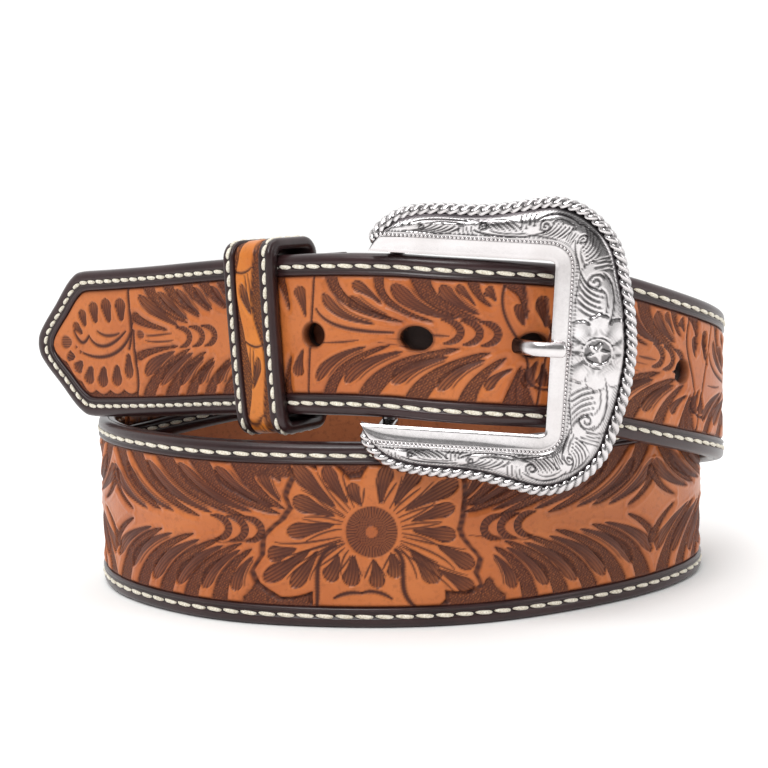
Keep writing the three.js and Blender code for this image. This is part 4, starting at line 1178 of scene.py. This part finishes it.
def strap_stitches(name, deep, outward, end):
    """Both rows of one face, each from the tip to the end."""
    profile = [(THREAD_INSET, deep), (THREAD_INSET, deep + outward)]
    along, deeps, across = border_strip(profile, 0.8, end)
    here = place(along[:, 0], deeps[:, 0], across[:, 0])
    lifted = place(along[:, 1], deeps[:, 1], across[:, 1])
    tip = len(along) // 2
    points, faces = [], []
    for run in (np.arange(tip, len(along)), np.arange(tip, -1, -1)):
        line = (here[run], lifted[run] - here[run], along[run, 0])
        more, quads = stitch_row(*row_along(line, stitch_pitch))
        faces += [[len(points) + k for k in quad] for quad in quads]
        points += more
    obj = build(name, points, faces, thread)
    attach(obj, "root")


strap_stitches("stitches_face", 0.12, -1, END_OF_FACE)
strap_stitches("stitches_lining", 4.38, 1, END_OF_LINING)


# Fold of the strap round the bar

FOLD_RADIUS = FACE_THICK + BAR_ROOM + BAR_RADIUS
FOLD_BACK = STRAP_THICK + GAP + FACE_THICK


def fold_band():
    seats = []
    for along in np.linspace(BELT_LENGTH - 12, BELT_LENGTH, 10):
        seats.append((along, 0.0, 0.0, 1.0))
    for angle in np.linspace(0, math.pi, 25)[1:]:
        seats.append((BELT_LENGTH + FOLD_RADIUS * math.sin(angle), FOLD_RADIUS * (1 - math.cos(angle)),
                      -math.sin(angle), math.cos(angle)))
    for along in np.linspace(3, FOLD_LENGTH, 40):
        deep = 2 * FOLD_RADIUS + (FOLD_BACK - 2 * FOLD_RADIUS) * float(smooth(along / 12))
        seats.append((BELT_LENGTH - along, deep, 0.0, -1.0))
    half = FOLD_HALF
    section = np.array([
        (-half, 1.2), (-half + 0.35, 0.35), (-half + 1.2, 0.0), (-3, 0.0), (3, 0.0), (half - 1.2, 0.0),
        (half - 0.35, 0.35), (half, 1.2), (half, FACE_THICK), (3, FACE_THICK), (-3, FACE_THICK),
        (-half, FACE_THICK),
    ])
    across, inner = section.T
    rings = np.array([place(along + inner * turn, deep + inner * into, across)
                      for along, deep, turn, into in seats])
    obj = ring_solid("buckle_fold", rings, dark_leather, paint(np.full(rings.shape[:2], 0.1)))
    slot_half = PRONG_WIDE / 2 + 0.5
    cutter_rings = np.array([place(along, np.array([-1, -1, FOLD_RADIUS + 2, FOLD_RADIUS + 2]),
                                   np.array([-slot_half, slot_half, slot_half, -slot_half]))
                             for along in (BELT_LENGTH - 7, BELT_LENGTH + 8)])
    cutter = ring_solid("slot_cutter", cutter_rings, dark_leather)
    cut = obj.modifiers.new("slot", "BOOLEAN")
    cut.operation = "DIFFERENCE"
    cut.object = cutter
    apply_modifiers(obj)
    bpy.data.objects.remove(cutter)
    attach(obj, "root")


def apply_modifiers(obj):
    graph = bpy.context.evaluated_depsgraph_get()
    made = bpy.data.meshes.new_from_object(obj.evaluated_get(graph))
    obj.modifiers.clear()
    obj.data = made


fold_band()


# Keeper

KEEPER_TOP = BILLET_WIDTH / 2 + KEEPER_ROOM_TOP
KEEPER_LOW = -BILLET_WIDTH / 2 - KEEPER_ROOM_LOW
KEEPER_FRONT = -GAP - 0.1
KEEPER_BACK = STRAP_THICK + 0.5 + FOLD_BACK + 0.5
KEEPER_CORNER = 1.6
KEEPER_HALF = KEEPER_WIDE / 2
KEEPER_PITCH = 3.35


def keeper_path(step):
    """Points round the keeper's inside: deep, across, outward deep, outward across, run."""
    low, high = KEEPER_LOW, KEEPER_TOP
    front, back = KEEPER_FRONT, KEEPER_BACK
    r = KEEPER_CORNER
    corners = [
        (front + r, low + r, 180), (back - r, low + r, 270),
        (back - r, high - r, 0), (front + r, high - r, 90),
    ]
    out = []
    for k, (cx, cy, start) in enumerate(corners):
        for a in np.linspace(start, start + 90, 9):
            turn = math.radians(a)
            out.append((cx + r * math.cos(turn), cy + r * math.sin(turn), math.cos(turn), math.sin(turn)))
        nx, ny, ns = corners[(k + 1) % 4]
        end_turn = math.radians(start + 90)
        x0, y0 = cx + r * math.cos(end_turn), cy + r * math.sin(end_turn)
        x1, y1 = nx + r * math.cos(math.radians(ns)), ny + r * math.sin(math.radians(ns))
        length = math.hypot(x1 - x0, y1 - y0)
        for t in np.arange(step, length - step / 2, step) / length:
            out.append((x0 + (x1 - x0) * t, y0 + (y1 - y0) * t, math.cos(end_turn), math.sin(end_turn)))
    out = np.array(out)
    nxt = np.roll(out[:, :2], -1, axis=0)
    run = np.concatenate([[0], np.cumsum(np.linalg.norm(nxt - out[:, :2], axis=1))])
    return out, run


def keeper_place(path, offset, height):
    """Space for each path point at an offset along the strap and a height over the loop's inside."""
    deep, across, out_deep, out_across = (path[:, k][:, None] for k in range(4))
    front = smooth((-out_deep + 0.2) / 0.8)
    bulge = front * 0.6 * np.sqrt(np.clip(1 - (across / KEEPER_TOP) ** 2, 0, 1))
    return place(KEEPER_AT - bulge + offset, deep + out_deep * height, across + out_across * height)


KEEPER_EDGE = [
    (-1.0, 0.05), (-1.0, 1.5), (-0.975, 2.2), (-0.92, 2.62), (-0.85, 2.76), (-0.80, 2.62), (-0.76, 2.45),
    (-0.70, 2.45), (-0.66, 2.62), (-0.61, 2.8), (-0.555, 2.84), (-0.53, 2.6), (-0.515, 2.1), (-0.515, 1.8),
]


def keeper():
    path, run = keeper_path(0.9)
    shares = [row[0] for row in KEEPER_EDGE] + [-row[0] for row in KEEPER_EDGE[::-1]]
    heights = [row[1] for row in KEEPER_EDGE] + [row[1] for row in KEEPER_EDGE[::-1]]
    offset = np.array(shares)[None, :] * KEEPER_HALF
    height = np.repeat(np.array(heights)[None, :], len(path), axis=0)
    rings = keeper_place(path, offset, height)
    groove = np.exp(-((np.abs(np.array(shares)) - 0.73) / 0.05) ** 2)
    dark = np.broadcast_to(groove * 0.8, rings.shape[:2])
    obj = ring_solid("keeper_band", rings, dark_leather, paint(dark), closed=True)
    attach(obj, "root")
    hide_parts("keeper_loop")

    path, run = keeper_path(0.3)
    columns = 26
    half = KEEPER_HALF * 0.5
    offset = np.linspace(-half, half, columns)[None, :]
    centre_run = run[:-1]
    total = run[-1]
    front_middle = total - (KEEPER_TOP - KEEPER_LOW) / 2
    walk = (centre_run - front_middle + total / 2) % total - total / 2
    order = np.argsort(walk)
    path, walk = path[order], walk[order]
    art = Relief(np.repeat(walk[:, None], columns, axis=1), np.repeat(-offset, len(path), axis=0))
    keeper_art(art, total)
    rim = smooth(1 - (half - np.abs(art.y)) / 0.5)
    art.height = art.height * (1 - rim) - 0.3 * rim
    art.dark = np.maximum(art.dark, rim)
    height = 2.45 + art.height
    rings = keeper_place(path, np.repeat(offset, len(path), axis=0), height)
    under = np.repeat(offset[:, ::-1], len(path), axis=0)
    low = keeper_place(path, under, np.full(height.shape, 1.7))[:, :: columns - 1]
    rings = np.concatenate([rings, low], axis=1)
    dark = np.pad(art.dark, ((0, 0), (0, 2)), constant_values=0.9)
    light = np.pad(art.light, ((0, 0), (0, 2)))
    obj = ring_solid("keeper_tooling", rings, amber_leather, paint(dark, light), closed=True)
    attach(obj, "root")
    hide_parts("keeper_panel")

    path, run = keeper_path(0.5)
    for index, side in enumerate((-1, 1)):
        offset = np.full((len(path), 1), side * KEEPER_HALF * 0.73)
        here = keeper_place(path, offset, np.full((len(path), 1), 2.62))[:, 0]
        lifted = keeper_place(path, offset, np.full((len(path), 1), 3.6))[:, 0]
        out = lifted - here
        line = (np.concatenate([here, here[:1]]), np.concatenate([out, out[:1]]), run)
        points, faces = stitch_row(*row_along(line, lambda at: KEEPER_PITCH))
        obj = build(f"stitches_keeper_{index + 1}", points, faces, thread)
        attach(obj, "root")


KEEPER_STROKES = [
    (((-4.6, 0.6), (-1.0, -0.1), (1.2, 0.6), (4.4, -1.4)), (0.40, 0.25, 0.95, 0.4)),
    (((-5.0, -0.4), (-1.6, -0.9), (2.0, -0.6)), (0.34, 0.2, 0.85, 0.3)),
    (((-5.6, 3.4), (-4.4, 0.8), (-6.4, -1.6)), (0.5, 0.34, 1.0, 0.6)),
]


def keeper_art(art, total):
    """Wavy band round the keeper, with a leaf and its lines in each bend."""
    count = max(2, int(total / 27))
    period = total / count
    phase = 2 * np.pi * (art.x + total / 2) / period
    wave = 1.3 * np.sin(phase)
    lobe = 0.5 * np.abs(np.sin(phase + 0.7)) ** 3
    inside = 2.05 + lobe - np.abs(art.y - wave)
    rows = slice(0, len(art.order))
    art.ground(rows, 1 - smooth(inside / 0.3 + 0.5))
    art.rim(rows, inside, 0.35, 0.14)
    for k in range(2 * count):
        side = 1 if k % 2 == 0 else -1
        x = -total / 2 + period * (k / 2 + 0.25)
        at = lambda u, v: (x + u, v * side)
        art.comma(curve(at(-2.6, 1.7), at(0.6, 1.5), at(4.6, -0.6)), 0.95, head=0.4, tail=0.25)
        art.strokes(at, KEEPER_STROKES)


keeper()


# Buckle

bar_middle = place(BELT_LENGTH, FOLD_RADIUS, 0)
buckle_up = unit(place(BELT_LENGTH, FOLD_RADIUS, 1) - bar_middle)
towards_viewer = np.array([0.0, -1.0, 0.0])
front_flat = unit(towards_viewer - buckle_up * towards_viewer.dot(buckle_up))
turn_back = Matrix.Rotation(BUCKLE_TURN, 3, Vector(buckle_up))
buckle_front = np.array(turn_back @ Vector(front_flat))
buckle_along = np.array(turn_back @ Vector(np.cross(buckle_up, front_flat)))


def on_buckle(x, y, front):
    x, y, front = np.broadcast_arrays(*(np.asarray(v, float) for v in (x, y, front)))
    return (bar_middle + buckle_along * (x - BAR_AT)[..., None] + buckle_up * y[..., None]
            + buckle_front * (front + BAR_DEPTH)[..., None])


def frame_lines(step):
    """Window edge and rope line of the whole frame, from the upper arm's end to the lower one's."""
    upper = np.array(BUCKLE_OUTLINE)
    outer = upper[:, :2] * [BUCKLE_HALF_LENGTH, BUCKLE_HALF_HEIGHT]
    inner = np.stack([upper[:, 2] * BUCKLE_HALF_LENGTH, WINDOW_HALF * (1 - upper[:, 3])], -1)
    flip = np.array([1, -1])
    outer = np.concatenate([outer, (outer * flip)[-2::-1]])
    inner = np.concatenate([inner, (inner * flip)[-2::-1]])
    knots = run_of(outer)
    run = np.arange(0, knots[-1], step)
    run = np.append(run, knots[-1])
    outer_line = np.stack([natural_spline(knots, outer[:, k])(run) for k in range(2)], -1)
    inner_line = np.stack([level_curve(knots, inner[:, k])(run) for k in range(2)], -1)
    ahead = unit(np.gradient(outer_line, axis=0))
    inward = np.stack([ahead[:, 1], -ahead[:, 0]], -1)
    rope = outer_line + inward * ROPE_RADIUS
    return run, inner_line, rope, inward


PLATE_STEP = 0.36
PLATE_COLUMNS = 50
BEADS_AT = 4.0
ENGRAVED_FROM = 4.7
PLATE_DOME = 1.6
WINDOW_RIGHT = 0.377


def plate_swell(share, width):
    """Swell of the frame between the polished edge and the rope, fullest where it is widest."""
    dome = level_curve([0, 0.24, 0.45, 0.68, 0.88, 1], [0, 0.15, 0.75, 0.9, 0.3, 0])(share)
    widest = BUCKLE_HALF_LENGTH * (1 - WINDOW_RIGHT)
    return PLATE_DOME * dome * np.minimum(1, width / widest)


STAR_TIP = 2.9
STAR_NOTCH = 1.2
SCROLL_FIRST = 15.0
SCROLL_PITCH = 14.0
SCROLLS_PER_SIDE = 7
SCROLL_STEMS = [
    (((-8.4, -0.70), (-4.0, -1.0), (2.0, -0.95), (4.4, -0.3)), (0.36, 0.18, 0.95, 0.5)),
    (((-7.4, -0.42), (-3.6, -0.66), (-0.4, -0.62), (0.8, -0.2)), (0.28, 0.14, 0.85, 0.3)),
]


def scroll_art(art, width, run_length):
    """Engraved scrolls along the arms and a petalled star on the solid end."""
    middle = run_length / 2
    centre = (ENGRAVED_FROM + width - 1.9) / 2
    half = np.maximum((width - 1.9 - ENGRAVED_FROM) / 2, 0.5)
    hatch = 0.5 + 0.5 * np.cos(2 * np.pi * (art.x + art.y) / 0.62)
    rim_band = smooth(1 - (width - 2.0 - art.y) / 1.0) * (art.y > ENGRAVED_FROM)
    art.dark = np.maximum(art.dark, 0.75 * hatch * rim_band)
    art.height -= 0.05 * hatch * rim_band
    for side in (-1, 1):
        for k in range(SCROLLS_PER_SIDE):
            x = middle + side * (SCROLL_FIRST + SCROLL_PITCH * k)
            if x < 3 or x > run_length - 3:
                continue
            row = int(np.clip(np.searchsorted(art.order, x), 0, len(art.order) - 1))
            c = float(centre[row, 0])
            h = float(half[row, 0])
            up = 1 if k % 2 else -1
            at = lambda u, v: (x + side * u, c + up * v * h)
            turns = np.linspace(0, 1, 40)
            size = (0.46 - 0.36 * turns) * h
            swing = -1.2 + 8.6 * turns
            across = c + up * (0.05 * h + size * np.sin(swing))
            spiral = np.stack([x + side * (2.4 + size * np.cos(swing)), across], -1)
            art.stroke(spiral, 0.34, 0.18, 0.95, 0.7)
            art.strokes(at, SCROLL_STEMS)
            for n in range(6):
                path = curve(at(-6.6 + 1.35 * n, -0.40 + 0.02 * n), at(-6.2 + 1.5 * n, 0.30 + 0.05 * n),
                             at(-3.0 + 1.75 * n, 0.92 - 0.03 * n))
                art.stroke(path, 0.34 if n % 2 else 0.26, 0.15, 0.9, 0.2)
            for n in range(4):
                path = curve(at(4.0 + 1.1 * n, -0.96), at(5.4 + 1.0 * n, -0.55),
                             at(5.0 + 0.9 * n, 0.02 + 0.12 * n))
                art.stroke(path, 0.28, 0.14, 0.88, 0.2)
            art.stroke(curve(at(-2.6, 0.98), at(2.0, 0.86), at(6.6, 0.7)), 0.30, 0.14, 0.9, 0.3)
    rows = art.window(middle - 15, middle + 15)
    dx = art.x[rows] - middle
    dy = art.y[rows] - float(centre[len(art.order) // 2, 0]) - 0.2
    reach = np.hypot(dx * 0.95, dy)
    angle = np.arctan2(dy, dx)
    petals = 7.2 + 1.7 * np.abs(np.cos(angle * 5)) ** 0.7 + 0.35 * np.abs(np.cos(angle * 15))
    fine = 0.5 + 0.5 * np.cos(angle * 70)
    body = smooth((petals - reach) / 0.25)
    level = 0.12 + 0.14 * np.abs(np.cos(angle * 5))
    gaps = smooth(1 - np.abs(np.sin(angle * 5 + math.pi / 2)) / 0.16) * smooth((reach - 3.6) / 1.5)
    veins = fine * smooth(1 - np.abs(reach - 4.6) / 1.5)
    art.blend(rows, body, level, np.clip(0.75 * gaps * smooth((reach - 5) / 2) + 0.5 * veins, 0, 1), 0)
    outline_mark = smooth(1 - np.abs(petals - reach) / 0.28)
    art.blend(rows, outline_mark, -0.12, 0.92, 0)
    art.blend(rows, smooth(1 - np.abs(reach - 3.25) / 0.26), 0.40, 0.0, 0)
    art.blend(rows, smooth(1 - np.abs(reach - 3.62) / 0.16), -0.05, 0.9, 0)
    art.blend(rows, smooth((2.98 - reach) / 0.1), 0.0, 0.75, 0)
    fifth = 2 * math.pi / 5
    fold = np.abs(((angle - math.pi / 2 + fifth / 2) % fifth) - fifth / 2)
    a = math.pi / 5
    slope = STAR_TIP * STAR_NOTCH * math.sin(a) / np.maximum(
        STAR_NOTCH * np.sin(a - fold) + STAR_TIP * np.sin(fold), 1e-3)
    ridge = smooth(1 - fold / 0.22) * 0.14
    peak = 0.24 + ridge + 0.18 * np.clip(1 - reach / 3, 0, 1)
    art.blend(rows, smooth((slope - reach) / 0.16), peak, 0.0, 0)


def buckle_plate():
    run, inner_line, rope, inward = frame_lines(PLATE_STEP)
    width = np.linalg.norm(rope - inner_line, axis=1)
    share = np.concatenate([[0, 0.008, 0.02], np.linspace(0.045, 1, PLATE_COLUMNS)])
    along = np.repeat(run[:, None], len(share), axis=1)
    inset = width[:, None] * share[None, :]
    art = Relief(along, inset, level=0.0)
    wide = np.repeat(width[:, None], len(share), axis=1)
    scroll_art(art, wide, run[-1])
    polished = smooth((ENGRAVED_FROM - inset) / 0.25)
    art.height = art.height * (1 - polished)
    art.dark = art.dark * (1 - polished)
    dots = 0.5 + 0.5 * np.cos(2 * np.pi * along / 1.0)
    second = smooth(1 - np.abs(inset - BEADS_AT - 0.95) / 0.42) * dots
    art.height -= 0.14 * second
    art.dark = np.maximum(art.dark, 0.95 * second)
    beads = smooth(1 - np.abs(inset - BEADS_AT) / 0.62)
    art.height -= 0.16 * beads
    art.dark = np.maximum(art.dark, 0.92 * beads)
    near_rope = smooth(1 - (wide - ROPE_RADIUS + 0.1 - inset) / 0.5)
    art.height = art.height * (1 - near_rope) - 0.35 * near_rope
    art.dark = np.maximum(art.dark, near_rope)
    rows = np.repeat(share[None, :], len(run), axis=0)
    lip = FRAME_THICK - 0.28 * smooth(1 - inset / 0.6) * (inset < 0.6)
    front = lip + plate_swell(rows, wide) + art.height - 0.9 * smooth((rows - 0.9) / 0.1)
    x = inner_line[:, 0][:, None] * (1 - share) + rope[:, 0][:, None] * share
    y = inner_line[:, 1][:, None] * (1 - share) + rope[:, 1][:, None] * share
    top = on_buckle(x, y, front)
    back_share = share[::-1][::6]
    bx = inner_line[:, 0][:, None] * (1 - back_share) + rope[:, 0][:, None] * back_share
    by = inner_line[:, 1][:, None] * (1 - back_share) + rope[:, 1][:, None] * back_share
    back = on_buckle(bx, by, np.zeros(bx.shape))
    rings = np.concatenate([top, back], axis=1)
    dark = np.pad(art.dark, ((0, 0), (0, back.shape[1])), constant_values=0.15)
    obj = ring_solid("buckle_plate", rings, silver, paint(dark))
    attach(obj, "root")
    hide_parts("buckle_frame")
    return run, inner_line, rope, inward, width


ROPE_LAY = 6.9


def buckle_rope(run, rope, inward):
    """Twisted rope cast round the frame."""
    turns = circle(20)
    twist = 2 * np.pi * run / ROPE_LAY
    wave = np.cos(1.5 * (turns[None, :] + twist[:, None]))
    radius = ROPE_RADIUS * (0.62 + 0.41 * np.abs(wave) ** 0.65)
    end = smooth(np.minimum(run, run[-1] - run) / 1.2)
    radius = radius * (0.35 + 0.65 * end)[:, None]
    out = -radius * np.cos(turns)[None, :]
    x = rope[:, 0][:, None] + inward[:, 0][:, None] * out
    y = rope[:, 1][:, None] + inward[:, 1][:, None] * out
    rings = on_buckle(x, y, FRAME_THICK * 0.62 + radius * np.sin(turns)[None, :])
    dark = np.clip(1.25 - np.abs(wave) * 1.9, 0, 0.95)
    obj = ring_solid("buckle_rope", rings, silver, paint(dark))
    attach(obj, "root")


def buckle_beads(inner_line, rope, width):
    """Line of small beads beside the polished border."""
    points, faces = [], []
    pitch = 0.92
    share = BEADS_AT / width
    centre = inner_line * (1 - share)[:, None] + rope * share[:, None]
    length = run_of(centre)
    spots = np.arange(1.0, length[-1] - 1.0, pitch)
    cx = np.interp(spots, length, centre[:, 0])
    cy = np.interp(spots, length, centre[:, 1])
    dome_share = np.interp(spots, length, share)
    wide = np.interp(spots, length, width)
    level = FRAME_THICK - 0.14 + plate_swell(dome_share, wide)
    for x, y, z in zip(cx, cy, level):
        base = len(points)
        for height, radius in ((-0.05, 0.44), (0.16, 0.38), (0.30, 0.2)):
            for k in range(7):
                turn = 2 * math.pi * k / 7
                points.append(on_buckle(x + radius * math.cos(turn), y + radius * math.sin(turn), z + height))
        points.append(on_buckle(x, y, z + 0.34))
        for r in range(2):
            for k in range(7):
                n = (k + 1) % 7
                faces.append([base + r * 7 + k, base + r * 7 + n, base + r * 7 + 7 + n, base + r * 7 + 7 + k])
        for k in range(7):
            faces.append([base + 14 + k, base + 14 + (k + 1) % 7, base + 21])
        faces.append([base + k for k in range(7)][::-1])
    obj = build("buckle_beads", points, faces, silver, paint(np.full(len(points), 0.05)))
    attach(obj, "root")


def buckle_bar():
    """Round bar with its two lugs behind the frame."""
    turns = circle(28)
    side, front = BAR_AT + BAR_RADIUS * np.cos(turns), -BAR_DEPTH + BAR_RADIUS * np.sin(turns)
    rings = np.array([on_buckle(side, y, front) for y in np.linspace(-WINDOW_HALF - 2, WINDOW_HALF + 2, 30)])
    # Painted shade: the bar is darkened to 0.75 because it lies in shadow behind the strap.
    obj = ring_solid("buckle_bar", rings, silver, paint(np.full(rings.shape[:2], 0.75)))
    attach(obj, "root")
    for index, side in enumerate((-1, 1)):
        rings = []
        for front in np.linspace(-BAR_DEPTH - 1.6, FRAME_THICK * 0.5, 12):
            corner = 0.7
            ring = []
            for cx, cy, start in ((1, 1, 0), (-1, 1, 90), (-1, -1, 180), (1, -1, 270)):
                for a in np.linspace(start, start + 90, 5):
                    ring.append(on_buckle(BAR_AT + cx * (2 - corner) + corner * math.cos(math.radians(a)),
                                          side * (WINDOW_HALF + 2.4) + cy * (2 - corner)
                                          + corner * math.sin(math.radians(a)), front))
            rings.append(ring)
        rings = np.array(rings)
        # Painted shade: the lugs are darkened to 0.6 because they lie in shadow behind the frame.
        obj = ring_solid(f"buckle_lug_{index + 1}", rings, silver, paint(np.full(rings.shape[:2], 0.6)))
        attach(obj, "root")


frame_run, window_line, rope_line, frame_inward, frame_width = buckle_plate()
buckle_rope(frame_run, rope_line, frame_inward)
buckle_beads(window_line, rope_line, frame_width)
buckle_bar()


# Prong

def prong():
    rows = np.array(PRONG)
    knots = run_of(rows)
    run = np.linspace(0, knots[-1], 70)
    path = np.stack([natural_spline(knots, rows[:, k])(run) for k in range(2)], -1)
    ahead = unit(np.gradient(path, axis=0))
    normal = np.stack([-ahead[:, 1], ahead[:, 0]], -1)
    turns = circle(20)
    to_end = run[-1] - run
    slim = np.sqrt(np.clip(1 - (1 - np.clip(to_end / 1.6, 0, 1)) ** 2, 0.0, 1)) * 0.98 + 0.02
    shoulder = smooth((3.0 - path[:, 0]) / 1.8) * smooth((path[:, 0] + 14) / 3)
    wide = PRONG_WIDE / 2 * (1 - 0.10 * run / run[-1] + 0.42 * shoulder) * slim
    thick = PRONG_THICK / 2 * (1 - 0.08 * run / run[-1]) * slim
    square = lambda v: np.sign(v) * np.abs(v) ** 0.8
    t = thick[:, None] * square(np.sin(turns))[None, :]
    w = wide[:, None] * square(np.cos(turns))[None, :]
    rings = on_buckle(path[:, 0][:, None] + normal[:, 0][:, None] * t, w,
                      path[:, 1][:, None] + normal[:, 1][:, None] * t)
    # Painted shade: the shank darkens where it lies behind the strap and in its hole.
    hole_shade = 0.95 * smooth((7.0 - path[:, 0]) / 1.4)
    shade = np.repeat(hole_shade[:, None], len(turns), axis=1)
    obj = ring_solid("prong_shank", rings, silver, paint(shade))
    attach(obj, "root")
    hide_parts("prong")
    rings = []
    for a in np.linspace(0, 2 * math.pi, 41)[:-1]:
        ring = []
        for k in range(12):
            turn = 2 * math.pi * k / 12
            radius = BAR_RADIUS + 1.0 + 0.8 * math.cos(turn)
            ring.append(on_buckle(BAR_AT + radius * math.cos(a), PRONG_WIDE / 2 * math.sin(turn),
                                  -BAR_DEPTH + radius * math.sin(a)))
        rings.append(ring)
    rings = np.array(rings)
    # Painted shade: the ring is darkened to 0.8 because it lies in shadow behind the strap.
    obj = ring_solid("prong_ring", rings, silver, paint(np.full(rings.shape[:2], 0.8)), closed=True)
    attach(obj, "root")


prong()

for name in ("fold_snap_1", "fold_snap_2"):
    for index in range(len(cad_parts[name].material_slots)):
        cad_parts[name].material_slots[index].material = dark_metal


# Studio

def add_light(name, location, energy, size, colour=(1, 1, 1), aim=(0, 0, 0.05)):
    lamp = bpy.data.lights.new(name, "AREA")
    lamp.shape = "RECTANGLE"
    lamp.size, lamp.size_y = size
    lamp.energy = energy
    lamp.color = colour
    obj = bpy.data.objects.new(name, lamp)
    obj.location = location
    direction = Vector(aim) - Vector(location)
    obj.rotation_euler = direction.to_track_quat("-Z", "Y").to_euler()
    bpy.context.scene.collection.objects.link(obj)


WORLD_FRONT = 0.22
WORLD_BACK = 1.12


def studio():
    mesh = bpy.data.meshes.new("floor")
    size = 6.0
    corners = [(-size, -size, 0), (size, -size, 0), (size, size, 0), (-size, size, 0)]
    mesh.from_pydata(corners, [], [(0, 1, 2, 3)])
    floor = bpy.data.objects.new("floor", mesh)
    bpy.context.scene.collection.objects.link(floor)
    material, tree, shader = new_material("floor_paper")
    cloud = noise(tree, 3.0, 2.0)
    base = mix_colour(tree, cloud, (0.93, 0.93, 0.92, 1), (0.96, 0.96, 0.955, 1))
    tree.links.new(base, shader.inputs["Base Color"])
    shader.inputs["Roughness"].default_value = 0.9
    shader.inputs["Specular IOR Level"].default_value = 0.1
    mesh.materials.append(material)
    world = bpy.data.worlds.new("studio")
    world.use_nodes = True
    tree = world.node_tree
    direction = node(tree, "ShaderNodeTexCoord")
    parts = node(tree, "ShaderNodeSeparateXYZ", {"Vector": direction.outputs["Generated"]})
    level = spread(tree, parts.outputs["Y"], -0.75, 0.25, WORLD_FRONT, WORLD_BACK)
    tree.nodes["Background"].inputs[0].default_value = (1, 1, 1, 1)
    tree.links.new(level, tree.nodes["Background"].inputs[1])
    bpy.context.scene.world = world
    add_light("key", (-0.30, -0.85, 0.75), 4.0, (0.40, 0.30))
    add_light("fill", (0.85, -0.45, 0.40), 1.2, (0.25, 0.5))
    add_light("top", (0.0, 0.15, 1.1), 2.5, (0.9, 0.5))
    sun = bpy.data.lights.new("sun", "SUN")
    sun.energy = 1.0
    sun.angle = math.radians(40)
    above = bpy.data.objects.new("sun", sun)
    above.rotation_euler = Vector((0.3, 0.5, -0.9)).to_track_quat("-Z", "Y").to_euler()
    bpy.context.scene.collection.objects.link(above)


FOCAL_PIXELS = 1700.0
CAMERA_AT = (0.978, -444.83, 105.5)
CAMERA_PITCH = 7.0
CAMERA_ROLL = -1.1
PICTURE_PIXELS = 768
SENSOR_WIDTH = 36.0


def camera():
    lens = bpy.data.cameras.new("camera")
    lens.sensor_width = SENSOR_WIDTH
    lens.sensor_fit = "HORIZONTAL"
    lens.lens = FOCAL_PIXELS / PICTURE_PIXELS * SENSOR_WIDTH
    lens.clip_start = 0.01
    lens.clip_end = 30
    obj = bpy.data.objects.new("camera", lens)
    obj.location = Vector(CAMERA_AT) * MM
    pitch = Matrix.Rotation(math.radians(90 - CAMERA_PITCH), 3, "X")
    roll = Matrix.Rotation(math.radians(CAMERA_ROLL), 3, "Z")
    obj.rotation_euler = (pitch @ roll).to_euler()
    bpy.context.scene.collection.objects.link(obj)
    bpy.context.scene.camera = obj


studio()
camera()
bpy.context.scene.view_settings.view_transform = "Standard"

bpy.context.view_layer.update()
